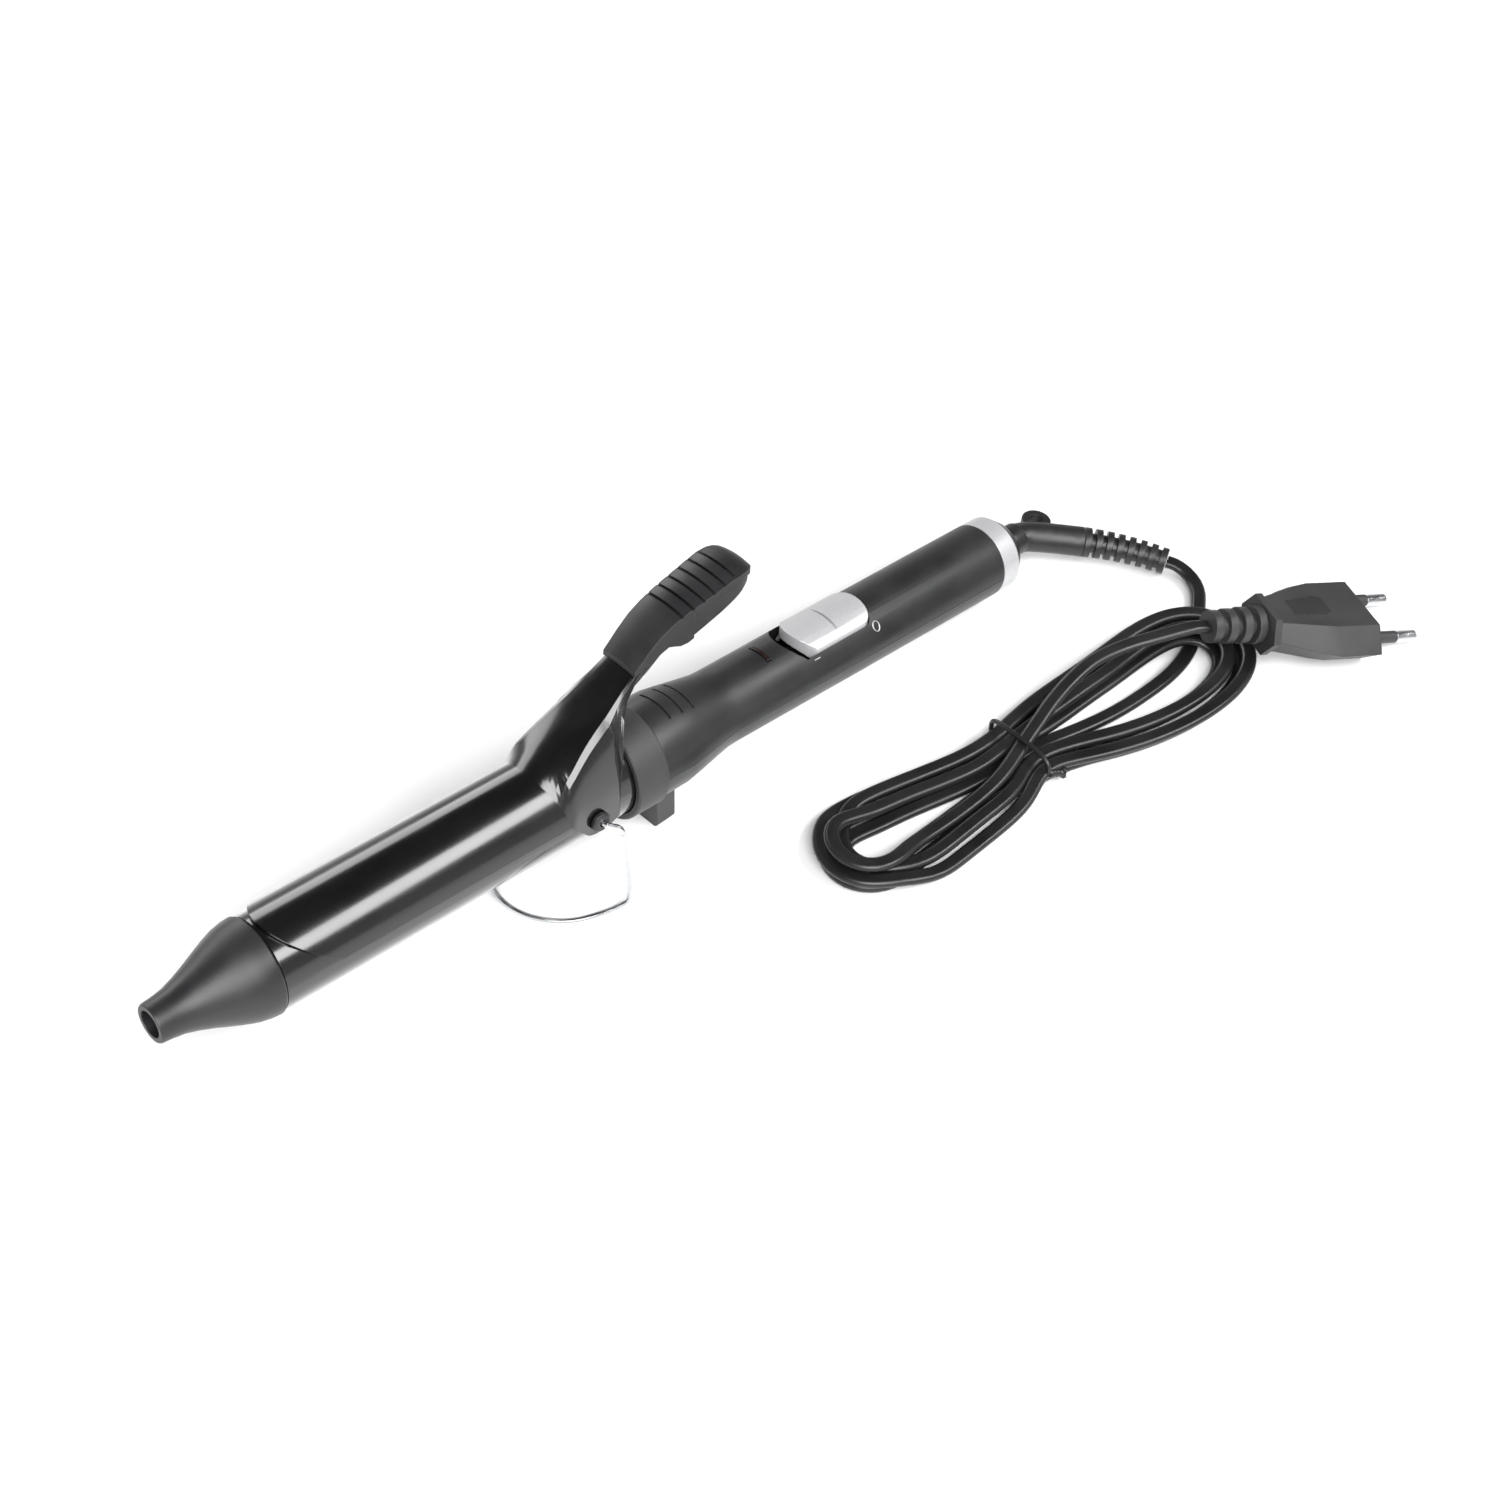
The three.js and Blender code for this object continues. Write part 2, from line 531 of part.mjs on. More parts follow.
// The handle's outer radius, as [distance behind its front, radius].
const GRIP = [
  [0, gripOutside - 0.3], [0.8, gripOutside], [12.5, gripOutside - 0.15], [19, HANDLE_RADIUS + 2.2],
  [27, HANDLE_RADIUS + 0.8], [33.5, HANDLE_RADIUS - 0.25], [38, HANDLE_RADIUS - 0.4],
  [60, HANDLE_RADIUS - 0.3], [100, HANDLE_RADIUS - 0.1], [HANDLE_LENGTH, HANDLE_RADIUS],
];

function handleBody() {
  const outer = GRIP.map(([back, radius]) => [handleAt + back, radius]);
  const rear = handleAt + HANDLE_LENGTH;
  const solid = turned([[handleAt, 0], ...outer, [rear, 0]], 48);
  const front = BARREL_RADIUS + GAP;
  const hollow = turned([
    [handleAt - 1, 0], [handleAt - 1, front], [barrelEndAt + 0.5, front], [handleAt + 27, handleInside - 0.6],
    [handleAt + 34, handleInside - 0.6], [handleAt + 62, handleInside], [rear + 1, handleInside], [rear + 1, 0],
  ], 40);
  return { solid, hollow };
}

// The heel stands square to the table, so it is turned back by the tilt.
function heelBlock() {
  const half = HEEL_WIDTH / 2;
  const shape = new THREE.Shape();
  shape.moveTo(-half + 2.5, 0);
  shape.lineTo(half - 2.5, 0);
  shape.quadraticCurveTo(half, 0, half, 2.5);
  shape.lineTo(half + 0.6, tipHeight / 2);
  shape.lineTo(-half - 0.6, tipHeight / 2);
  shape.lineTo(-half, 2.5);
  shape.quadraticCurveTo(-half, 0, -half + 2.5, 0);
  const settings = { depth: HEEL_LENGTH, bevelEnabled: false, curveSegments: 5 };
  const body = new THREE.ExtrudeGeometry(shape, settings).rotateX(Math.PI / 2).rotateZ(Math.PI / 2);
  body.translate(-HEEL_LENGTH / 2, 0, 0);
  return body.applyMatrix4(iron.matrix.clone().invert());
}

function gripGrooves() {
  const window = block(handleAt, handleAt + 30, -7.6, 7.6, 4, 30);
  return [8.7, 14.2, 19.2].map((back) => {
    const at = handleAt + back;
    const floor = back < 13 ? gripOutside - 0.85 : gripOutside - 0.85 - (back - 12.5) * 0.155;
    return common(ring(at - 0.45, at + 0.45, floor, gripOutside + 2), window);
  });
}

const sliderAt = handleAt + SLIDER_BACK;
const sliderFrontSweep = 0.06; // how fast the slider's front edge is rounded, per mm squared

// The slider seen from above, grown by an allowance, with its front moved forwards by some travel.
function sliderPlan(allowance, travel) {
  const half = SLIDER_WIDTH / 2 + allowance;
  const rear = sliderAt + SLIDER_LENGTH + allowance;
  const shape = new THREE.Shape();
  const steps = 8;
  for (let i = 0; i <= steps; i += 1) {
    const y = half - (2 * half * i) / steps;
    const x = sliderAt - allowance - travel + sliderFrontSweep * y * y;
    if (i === 0) shape.moveTo(x, y);
    else shape.lineTo(x, y);
  }
  shape.lineTo(rear - 5, -half);
  shape.bezierCurveTo(rear - 1, -half, rear, -half * 0.6, rear, 0);
  shape.bezierCurveTo(rear, half * 0.6, rear - 1, half, rear - 5, half);
  return shape;
}

function sliderSlot() {
  return plate(sliderPlan(0.4, SLIDER_TRAVEL), 2, 2 * HANDLE_RADIUS);
}

function lensSlot() {
  const at = handleAt + LENS_BACK;
  const half = LENS_WIDTH / 2 + 0.25;
  return block(at - 0.25, at + LENS_LENGTH + 0.25, -half, half, 2, 2 * HANDLE_RADIUS);
}

function handleUpper() {
  const { solid, hollow } = handleBody();
  const upper = block(handleAt - 5, endAt, -40, 40, SPLIT, 40);
  const shell = common(cut(solid, hollow, sliderSlot(), lensSlot(), ...gripGrooves()), upper);
  const bosses = SCREWS_BACK.map((back) => {
    const post = rod('z', 0.6, handleInside + 0.6, BOSS_RADIUS - 0.3, 16);
    return cut(post, rod('z', 0, 7.5, SCREW_RADIUS + GAP, 12)).translate(handleAt + back, 0, 0);
  });
  return join(shell, ...bosses);
}

function handleLower() {
  const { solid, hollow } = handleBody();
  const lower = block(handleAt - 5, endAt, -40, 40, -60, -SPLIT);
  const shell = common(cut(join(solid, heelBlock()), hollow), lower);
  const posts = SCREWS_BACK.map((back) =>
    rod('z', -handleInside - 0.6, -1.2, BOSS_RADIUS, 16).translate(handleAt + back, 0, 0));
  const wells = SCREWS_BACK.map((back) => {
    const well = join(rod('z', -30, -9, SCREW_HEAD_RADIUS + GAP, 12), rod('z', -10, 0, SCREW_RADIUS + GAP, 12));
    return well.translate(handleAt + back, 0, 0);
  });
  return cut(join(shell, ...posts), ...wells);
}

function handleScrew(back) {
  const top = 6.5;
  const body = turned([
    [-11, 0], [-11, SCREW_HEAD_RADIUS], [-9.3, SCREW_HEAD_RADIUS], [-9.3, SCREW_RADIUS], [top - 1, SCREW_RADIUS],
    [top, 0.6], [top, 0],
  ], 12);
  return body.rotateY(-Math.PI / 2).translate(handleAt + back, 0, 0);
}

function addHandle() {
  const collar = turned([
    [collarAt, BARREL_RADIUS + GAP], [collarAt, collarOutside - 0.6], [collarAt + 0.6, collarOutside],
    [collarAt + COLLAR_LENGTH - 0.3, collarOutside], [collarAt + COLLAR_LENGTH, collarOutside - 0.3],
    [collarAt + COLLAR_LENGTH, BARREL_RADIUS + GAP], [collarAt, BARREL_RADIUS + GAP],
  ], 48);
  place(iron, 'collar', collar, 'collarGrey');
  place(iron, 'handle_upper', handleUpper(), 'satinBlack');
  place(iron, 'handle_lower', handleLower(), 'satinBlack');
  SCREWS_BACK.forEach((back, i) => {
    place(iron, `handle_screw_${i === 0 ? 'front' : 'rear'}`, handleScrew(back), 'steel');
  });
}

// ---- Switch and indicator -----------------------------------------------------------------------
const FLANGE_TOP = handleInside - GAP - 0.2;

function switchSlider() {
  const cap = ring(sliderAt - 8, sliderAt + SLIDER_LENGTH + 8, FLANGE_TOP - 0.6, HANDLE_RADIUS + 0.9);
  const top = common(cap, plate(sliderPlan(0, 0), 2, 2 * HANDLE_RADIUS));
  const groove = block(-0.5, 0.5, -7, 7, HANDLE_RADIUS - 0.8, 2 * HANDLE_RADIUS);
  const grooveAt = sliderAt + SLIDER_LENGTH / 2 + 0.3;
  // The flange's side lips lie under the slot's edges and hold the slider in.
  const lip = SLIDER_WIDTH / 2 + 1.4;
  const [flangeFrom, flangeTo] = [sliderAt + 5.5, sliderAt + SLIDER_LENGTH + 2];
  const flange = common(
    ring(flangeFrom, flangeTo, FLANGE_TOP - 1.2, FLANGE_TOP),
    block(flangeFrom, flangeTo, -lip, lip, 3, HANDLE_RADIUS),
  );
  const stem = block(grooveAt - 3.5, grooveAt + 3.5, -3, 3, 6.5, FLANGE_TOP - 0.4);
  return join(cut(top, groove.translate(grooveAt, 0, 0)), flange, stem);
}

function switchBody() {
  const middle = sliderAt + SLIDER_LENGTH / 2;
  return block(middle - 13, middle + 13, -5.5, 5.5, -6, 3);
}

function switchKnob() {
  const middle = sliderAt + SLIDER_LENGTH / 2 + 0.3;
  return block(middle - 2.5, middle + 2.5, -2, 2, 3.3, 6.2);
}

function indicatorLens() {
  const at = handleAt + LENS_BACK;
  const half = LENS_WIDTH / 2;
  const face = ring(at, at + LENS_LENGTH, handleInside - 1.5, HANDLE_RADIUS + 0.1);
  return common(face, block(at - 1, at + LENS_LENGTH + 1, -half, half, 2, 2 * HANDLE_RADIUS));
}

function addControls() {
  place(iron, 'switch_slider', switchSlider(), 'silver');
  place(iron, 'switch_body', switchBody(), 'satinBlack');
  place(iron, 'switch_knob', switchKnob(), 'satinBlack');
  place(iron, 'indicator_lens', indicatorLens(), 'lens');
  const lampAt = handleAt + LENS_BACK + LENS_LENGTH / 2;
  place(iron, 'indicator_lamp', rod('y', -4, 4, 1.8, 12).translate(lampAt, 0, 7), 'lens');
}

// ---- End ring, end cap and swivel ---------------------------------------------------------------
const boreRadius = SWIVEL_RADIUS + GAP;
const spindleAt = ringAt - 18;
const contactStations = [spindleAt + 2.5, spindleAt + 7.5];
const CONTACT_LENGTH = 3;
const SPINDLE_RADIUS = 2.8;
const CONTACT_RADIUS = 4.1;
const flangeAt = ringAt - 5;

function endRing() {
  return turned([
    [ringAt, handleInside], [ringAt, HANDLE_RADIUS], [endAt - 0.6, HANDLE_RADIUS], [endAt, HANDLE_RADIUS - 0.5],
    [endAt, handleInside], [ringAt, handleInside],
  ], 48);
}

function endCap() {
  const inside = handleInside - GAP;
  const back = endAt + GAP;
  return turned([
    [ringAt - 1, boreRadius], [ringAt - 1, inside], [back, inside], [back, HANDLE_RADIUS - 1.2],
    [back + 1, HANDLE_RADIUS - 1.5], [back + 3.6, HANDLE_RADIUS - 3.4], [back + 5.8, 8.4], [back + 7, 6.6],
    [back + 7, boreRadius], [ringAt - 1, boreRadius],
  ], 36);
}

const SWIVEL_DROP = THREE.MathUtils.degToRad(4.5); // the elbow lies a little below level
const bendAt = endAt + 12.5;
const LOOP_RADIUS = 5.6;
const LOOP_EYE = 2.9;
const LOOP_THICKNESS = 4.2;
const loopAt = { x: bendAt + 14, y: 1.4 };

// The swivel's own group turns about the iron's axis. Its elbow bends towards -y.
const turning = new THREE.Group();
turning.rotation.x = SWIVEL_DROP;
turning.updateMatrix();
iron.add(turning);

const SLEEVE_HEADING = THREE.MathUtils.degToRad(46);
const ELBOW = [[0, 0], [4.6, -1.4], [8.6, -4.4], [14.4, -9.7], [21.2, -16.4]]; // its middle line, from bendAt

function swivelElbow() {
  const neckEnd = endAt + 7 + 2 * GAP;
  const neck = turned([
    [spindleAt, 0], [spindleAt, SPINDLE_RADIUS], [flangeAt, SPINDLE_RADIUS], [flangeAt, 7.2],
    [ringAt - 1 - GAP, 7.2], [ringAt - 1 - GAP, SWIVEL_RADIUS], [neckEnd, SWIVEL_RADIUS], [neckEnd, 6],
    [neckEnd + 1.4, 6.3], [neckEnd + 6, 6.1], [neckEnd + 8.6, 3.8], [neckEnd + 8.6, 0],
  ], 24);
  const middle = ELBOW.map(([x, y]) => [bendAt + x, y, 0]);
  const sleeve = tube([[neckEnd + 1, 0, 0], ...middle], SLEEVE_RADIUS, 14, 16);
  const lug = rod('z', -LOOP_THICKNESS / 2, LOOP_THICKNESS / 2, LOOP_RADIUS, 24).translate(loopAt.x, loopAt.y, 0);
  const eye = rod('z', -LOOP_THICKNESS, LOOP_THICKNESS, LOOP_EYE, 24).translate(loopAt.x, loopAt.y, 0);
  return cut(join(neck, sleeve, lug), eye);
}

const RELIEF_LENGTH = 32;
const RELIEF_TURN = THREE.MathUtils.degToRad(20);
const RELIEF_RIBS = 8;

// The middle of the strain relief at a share of its length, in the swivel's group.
function reliefPoint(share) {
  const [x, y] = ELBOW[ELBOW.length - 1];
  const heading = SLEEVE_HEADING + share * RELIEF_TURN;
  const reach = RELIEF_LENGTH / RELIEF_TURN;
  const clear = GAP + 0.2;
  return [
    bendAt + x + clear * Math.cos(SLEEVE_HEADING) + reach * (Math.sin(heading) - Math.sin(SLEEVE_HEADING)),
    y - clear * Math.sin(SLEEVE_HEADING) + reach * (Math.cos(heading) - Math.cos(SLEEVE_HEADING)),
    0,
  ];
}

// A ribbed sleeve along a curve, tapering from one radius to another.
function ribbed(points, ribs, from, to, depth) {
  const path = smooth(points);
  const core = tube(points, Math.min(from, to) - depth, 12, 16);
  const pitch = 1 / (ribs - 0.45);
  const rings = Array.from({ length: ribs }, (_, i) => {
    const along = [0, 0.5, 1].map((k) => path.getPointAt(Math.min(1, pitch * (i + 0.55 * k))).toArray());
    return tube(along, from + ((to - from) * i) / (ribs - 1), 2, 16);
  });
  return join(core, ...rings);
}

function strainRelief() {
  const middle = [0, 0.25, 0.5, 0.75, 1].map(reliefPoint);
  return ribbed(middle, RELIEF_RIBS, SLEEVE_RADIUS, SLEEVE_RADIUS - 0.7, 1.3);
}

function contactRing(at) {
  return ring(at, at + CONTACT_LENGTH, SPINDLE_RADIUS + 0.1, CONTACT_RADIUS, 20);
}

// A leaf contact that rides on a slip ring, standing off the end cap's carrier plate.
function brush(at, side) {
  const rest = CONTACT_RADIUS + GAP;
  const leaf = outline([
    [spindleAt - 5.4, rest + 0.6], [at + CONTACT_LENGTH, rest + 0.6], [at + CONTACT_LENGTH, rest + 0.2],
    [at, rest + 0.2], [spindleAt - 5.4, rest + 0.2],
  ]);
  const body = profiled(leaf, 1.5);
  return side < 0 ? body.rotateX(Math.PI) : body;
}

function contactCarrier() {
  return ring(spindleAt - 8, spindleAt - 5.7, SPINDLE_RADIUS, handleInside - GAP, 28);
}

function addSwivel() {
  place(iron, 'end_ring', endRing(), 'silver');
  place(iron, 'end_cap', endCap(), 'satinBlack');
  place(iron, 'contact_carrier', contactCarrier(), 'ceramic');
  place(iron, 'brush_live', brush(contactStations[0], 1), 'brass');
  place(iron, 'brush_neutral', brush(contactStations[1], -1), 'brass');
  place(turning, 'swivel_elbow', swivelElbow(), 'satinBlack');
  place(turning, 'strain_relief', strainRelief(), 'satinBlack');
  place(turning, 'contact_ring_live', contactRing(contactStations[0]), 'brass');
  place(turning, 'contact_ring_neutral', contactRing(contactStations[1]), 'brass');
}

// ---- Wires inside -------------------------------------------------------------------------------
function addWires() {
  const switchFront = sliderAt + SLIDER_LENGTH / 2 - 13;
  const heaterEnd = heaterTo - 3;
  [['live', 1], ['neutral', -1]].forEach(([name, side]) => {
    const y = side * wireLane;
    const toHeater = [
      [heaterEnd + GAP, y, 0], [heaterEnd + 20, y, 0], [bushAt, y, 0], [handleAt + 40, y, -1],
      [switchFront - 8, side * 4, -2], [switchFront - GAP, side * 3.5, -2],
    ];
    place(iron, `heater_wire_${name}`, tube(toHeater, 0.8, 16, 6), 'ceramic');
    const toCord = [
      [switchFront + 26 + GAP, side * 3.5, -2], [switchFront + 34, y, -2], [spindleAt - 14, y, -2],
      [spindleAt - 8 - GAP, y, -2],
    ];
    place(iron, `supply_wire_${name}`, tube(toCord, 0.8, 10, 6), 'cord');
  });
}

// ---- Mains lead, hank, tie and plug, on the table -----------------------------------------------
// The plug lies with its lead end up on the hank. Its own x runs from the lead's end towards the pins,
// and its lengths are real ones.
const plugAt = new THREE.Vector3(189.3, -88.2, 24.1);
const plugX = new THREE.Vector3(0.889, -0.385, -0.248).normalize();
const plugY = new THREE.Vector3(0, 0, 1).cross(plugX).normalize();
const plugGroup = new THREE.Group();
plugGroup.matrixAutoUpdate = false;
plugGroup.matrix.makeBasis(plugX, plugY, plugX.clone().cross(plugY));
plugGroup.matrix.scale(new THREE.Vector3(1 / SIZE, 1 / SIZE, 1 / SIZE)).setPosition(plugAt);
part.add(plugGroup);

// Routes in the part's frame. The lead runs from the strain relief to the hank, the tail on to the plug.
const leadStart = new THREE.Vector3(...reliefPoint(1)).applyMatrix4(turning.matrix).applyMatrix4(iron.matrix);
const leadWay = leadStart.clone()
  .sub(new THREE.Vector3(...reliefPoint(0.97)).applyMatrix4(turning.matrix).applyMatrix4(iron.matrix)).normalize();
const LEAD = [
  ...[GAP, 4].map((along) => leadStart.clone().addScaledVector(leadWay, along).toArray()),
  [226.6, -51.4, 4], [225.3, -56.6, 2.9], [221.9, -61.2, 2.5], [217, -65.2, 2.4], [211.6, -68.2, 2.4],
];
const TAIL = [
  [128, -69.5, 16.8], [140, -68, 17.2], [152, -68.2, 18.6], [163, -72.4, 20.8], [173.5, -79.2, 23.6],
  ...[-6, -GAP].map((along) => plugAt.clone().addScaledVector(plugX, along).toArray()),
];
// The hank's outline on the table, once round from the left end.
const HANK = [
  [20.5, -62], [22, -52], [32, -46], [48, -45], [66, -48], [84, -54], [102, -58], [112, -58.8], [134, -58.5],
  [155, -59], [178, -59.5], [194, -61.5], [204.5, -68], [211.5, -80], [215, -90], [210, -98.5], [198, -104.5],
  [182, -106.4], [160, -104.5], [138, -98], [118, -88], [108, -86], [96, -86.4], [80, -88.4], [60, -90.5],
  [40, -89], [27, -81], [22, -72],
];
const HANK_HEIGHT = 14;
const HANK_END_HEIGHT = 7.5; // under the plug
const TIE_AT = 109;
const TIE_WIRE = 0.7;

function hank() {
  const curve = new THREE.SplineCurve(HANK.concat([HANK[0]]).map(([x, y]) => new THREE.Vector2(x, y)));
  const shape = new THREE.Shape(curve.getPoints(56).slice(0, -1));
  const groove = cut(
    block(TIE_AT - 1.6, TIE_AT + 1.6, -130, -20, -5, 40),
    block(TIE_AT - 3, TIE_AT + 3, -85.2, -60, 1.9, HANK_HEIGHT - 0.6),
  );
  const side = outline([
    [0, 0.2], [240, 0.2], [240, HANK_END_HEIGHT], [192, HANK_END_HEIGHT], [168, HANK_HEIGHT], [0, HANK_HEIGHT],
  ]);
  return cut(common(plate(shape, 0, 2 * HANK_HEIGHT), profiled(side, 200)), groove);
}

// The twist tie's wire, once round the hank's waist.
function twistTie() {
  const outer = outline([[-87, 0.1], [-58.2, 0.1], [-58.2, HANK_HEIGHT + 1], [-87, HANK_HEIGHT + 1]]);
  outer.holes.push(outline([[-85.6, 1.5], [-59.6, 1.5], [-59.6, HANK_HEIGHT - 0.3], [-85.6, HANK_HEIGHT - 0.3]]));
  const body = new THREE.ExtrudeGeometry(outer, { depth: 2 * TIE_WIRE, bevelEnabled: false });
  return body.rotateX(Math.PI / 2).rotateZ(Math.PI / 2).translate(TIE_AT - TIE_WIRE, 0, 0);
}

const PLUG_RELIEF = 19;
const PLUG_BODY = 37.5;
const PIN_RADIUS = 2;
const PIN_LENGTH = 19;
const PIN_SPACING = 18.6;
const PIN_SLEEVE = 10;

// Six-sided sections of the plug's body, as [distance, half width, half width of its flats, half thickness].
const PLUG_SECTIONS = [
  [0, 10.5, 6.8, 7], [2.4, 10.5, 6.8, 7], [2.5, 9.4, 6.4, 5.6], [16, 15.6, 9.8, 6.6],
  [22, 17.6, 11, 6.85], [PLUG_BODY, 17.6, 11, 6.85],
];

function plugBody() {
  const corners = ([x, wide, flat, high]) => [
    [x, wide, 0], [x, flat, high], [x, -flat, high], [x, -wide, 0], [x, -flat, -high], [x, flat, -high],
  ];
  const points = PLUG_SECTIONS.flatMap(corners).map((p) => new THREE.Vector3(...p));
  const last = (PLUG_SECTIONS.length - 1) * 6;
  const faces = [];
  for (let i = 0; i < last; i += 6) {
    for (let j = 0; j < 6; j += 1) {
      const next = (j + 1) % 6;
      faces.push(i + j, i + next + 6, i + j + 6, i + j, i + next, i + next + 6);
    }
  }
  for (let j = 1; j < 5; j += 1) faces.push(0, j + 1, j, last, last + j, last + j + 1);
  const body = new THREE.BufferGeometry().setFromPoints(points);
  body.setIndex(faces);
  const sockets = [1, -1].map((side) =>
    rod('x', PLUG_BODY - 9, PLUG_BODY + 2, PIN_RADIUS + 0.3, 16).translate(0, (side * PIN_SPACING) / 2, 0));
  return cut(body.translate(PLUG_RELIEF, 0, 0), ...sockets.map((s) => s.translate(PLUG_RELIEF, 0, 0)));
}

function pinAndSleeve(side) {
  const face = PLUG_RELIEF + PLUG_BODY;
  const pin = turned([
    [face - 8.5, 0], [face - 8.5, 1.4], [face + PIN_SLEEVE + 0.1, 1.4], [face + PIN_SLEEVE + 0.1, PIN_RADIUS],
    [face + PIN_LENGTH - 1.5, PIN_RADIUS], [face + PIN_LENGTH, 0.9], [face + PIN_LENGTH, 0],
  ], 16);
  const sleeve = ring(face - 8.5, face + PIN_SLEEVE, 1.5, PIN_RADIUS, 16);
  return [pin, sleeve].map((piece) => piece.translate(0, (side * PIN_SPACING) / 2, 0));
}

function addLead() {
  place(part, 'cord_lead', tube(LEAD, CORD_RADIUS, 14), 'cord');
  place(part, 'cord_hank', hank(), 'cord');
  place(part, 'twist_tie', twistTie(), 'cord');
  place(part, 'cord_tail', tube(TAIL, CORD_RADIUS, 16), 'cord');
  const reliefLine = [0, 0.5, 1].map((share) => [share * (PLUG_RELIEF - GAP), 0, 0]);
  place(plugGroup, 'plug_relief', ribbed(reliefLine, 4, 5.2, 6.2, 1.4), 'plug');
  place(plugGroup, 'plug_body', plugBody(), 'plug');
  [['left', 1], ['right', -1]].forEach(([name, side]) => {
    const [pin, sleeve] = pinAndSleeve(side);
    place(plugGroup, `plug_pin_${name}`, pin, 'steel');
    place(plugGroup, `pin_sleeve_${name}`, sleeve, 'plug');
  });
}

addBarrel();
addClip();
addPivot();
addHandle();
addControls();
addSwivel();
addWires();
addLead();
part.scale.setScalar(SIZE);

export default part;
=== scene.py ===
"""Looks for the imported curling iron: its lead, its small details, its materials, and a plain studio."""
import json
import math

import bpy
import numpy as np
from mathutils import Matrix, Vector


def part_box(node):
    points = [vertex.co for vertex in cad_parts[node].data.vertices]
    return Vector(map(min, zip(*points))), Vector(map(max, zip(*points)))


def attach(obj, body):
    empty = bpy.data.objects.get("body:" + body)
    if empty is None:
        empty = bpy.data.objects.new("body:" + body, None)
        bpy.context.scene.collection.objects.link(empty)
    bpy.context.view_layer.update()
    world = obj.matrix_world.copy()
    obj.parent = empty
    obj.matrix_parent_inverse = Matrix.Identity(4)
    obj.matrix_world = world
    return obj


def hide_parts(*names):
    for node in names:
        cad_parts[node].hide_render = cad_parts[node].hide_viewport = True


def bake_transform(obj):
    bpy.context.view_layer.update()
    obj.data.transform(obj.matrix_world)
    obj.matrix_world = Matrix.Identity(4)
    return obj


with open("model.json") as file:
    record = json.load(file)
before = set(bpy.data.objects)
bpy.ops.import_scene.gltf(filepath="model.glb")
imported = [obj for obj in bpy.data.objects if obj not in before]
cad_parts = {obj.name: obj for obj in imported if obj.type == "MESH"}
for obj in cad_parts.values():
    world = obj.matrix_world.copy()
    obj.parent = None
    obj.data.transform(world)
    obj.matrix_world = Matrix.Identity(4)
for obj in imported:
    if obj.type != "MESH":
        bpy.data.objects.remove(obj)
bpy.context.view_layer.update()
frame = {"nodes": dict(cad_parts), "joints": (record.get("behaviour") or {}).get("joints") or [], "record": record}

# ---- Sizes --------------------------------------------------------------------------------------
DRAWN = 0.001 * 28 / 32  # routes are drawn in mm for a 32 mm barrel, as in the CAD; this makes them metres
CORD_WIDTH = 0.0049
CORD_THICKNESS = 0.0028
CORD_LANE = 5.6  # between strands side by side, as drawn
LEAD_STEP = 2.4  # between points of the lead, as drawn

TILT = math.radians(5.43)  # the iron's axis falls towards the cord
AXIS = Vector((math.cos(TILT), 0, -math.sin(TILT)))
AXIS_UP = Vector((math.sin(TILT), 0, math.cos(TILT)))
ACROSS = Vector((0, 1, 0))
PIVOT = Vector(frame["joints"][0]["pos_m"])
HANDLE_RADIUS = 0.0142 * 28 / 32

CAMERA_AT = (-0.3198, -0.3810, 0.5250)
CAMERA_HEADING = (0.6887, 0.7251)
CAMERA_DOWN = math.radians(45.2)
CAMERA_LENS = 57.6
CAMERA_SENSOR = 36


# ---- Camera -------------------------------------------------------------------------------------
def add_camera():
    data = bpy.data.cameras.new("camera")
    data.lens = CAMERA_LENS
    data.sensor_width = CAMERA_SENSOR
    camera = bpy.data.objects.new("camera", data)
    camera.location = CAMERA_AT
    level = math.cos(CAMERA_DOWN)
    ahead = Vector((CAMERA_HEADING[0] * level, CAMERA_HEADING[1] * level, -math.sin(CAMERA_DOWN)))
    camera.rotation_euler = ahead.to_track_quat("-Z", "Y").to_euler()
    bpy.context.scene.collection.objects.link(camera)
    bpy.context.scene.camera = camera


# ---- Mesh helpers -------------------------------------------------------------------------------
TUBE_SMOOTH_ANGLE = 60


def mesh_object(name, vertices, faces, smooth_angle=40):
    mesh = bpy.data.meshes.new(name)
    mesh.from_pydata([tuple(v) for v in vertices], [], faces)
    mesh.validate()
    mesh.update()
    mesh.shade_smooth()
    mesh.set_sharp_from_angle(angle=math.radians(smooth_angle))
    thing = bpy.data.objects.new(name, mesh)
    bpy.context.scene.collection.objects.link(thing)
    return thing


CURVE_LEVELS = ((0, 1), (0, 2), (1, 2))  # how far on the two knots of a blend are, level by level
LEAST_GAP = 1e-9  # keeps the knots of a curve apart


def curve_point(corners, knots, t):
    """The point at t on a centripetal curve through the middle two of four corners."""
    level = list(corners)
    for first, last in CURVE_LEVELS:
        blended = []
        for j in range(len(level) - 1):
            share = (t - knots[j + first]) / (knots[j + last] - knots[j + first])
            blended.append(level[j] * (1 - share) + level[j + 1] * share)
        level = blended
    return level[0]


def catmull(points, step):
    """Points about a step apart on a smooth curve through the given ones."""
    p = np.array(points, float)
    p = np.vstack([2 * p[0] - p[1], p, 2 * p[-1] - p[-2]])
    line = []
    for i in range(1, len(p) - 2):
        corners = p[i - 1:i + 3]
        knots = [0.0]
        for before, after in zip(corners, corners[1:]):
            knots.append(knots[-1] + max(np.linalg.norm(after - before), LEAST_GAP) ** 0.5)
        count = max(2, int(np.linalg.norm(p[i + 1] - p[i]) / step))
        line += [curve_point(corners, knots, t) for t in np.linspace(knots[1], knots[2], count, endpoint=False)]
    line.append(p[-2])
    return np.array(line)


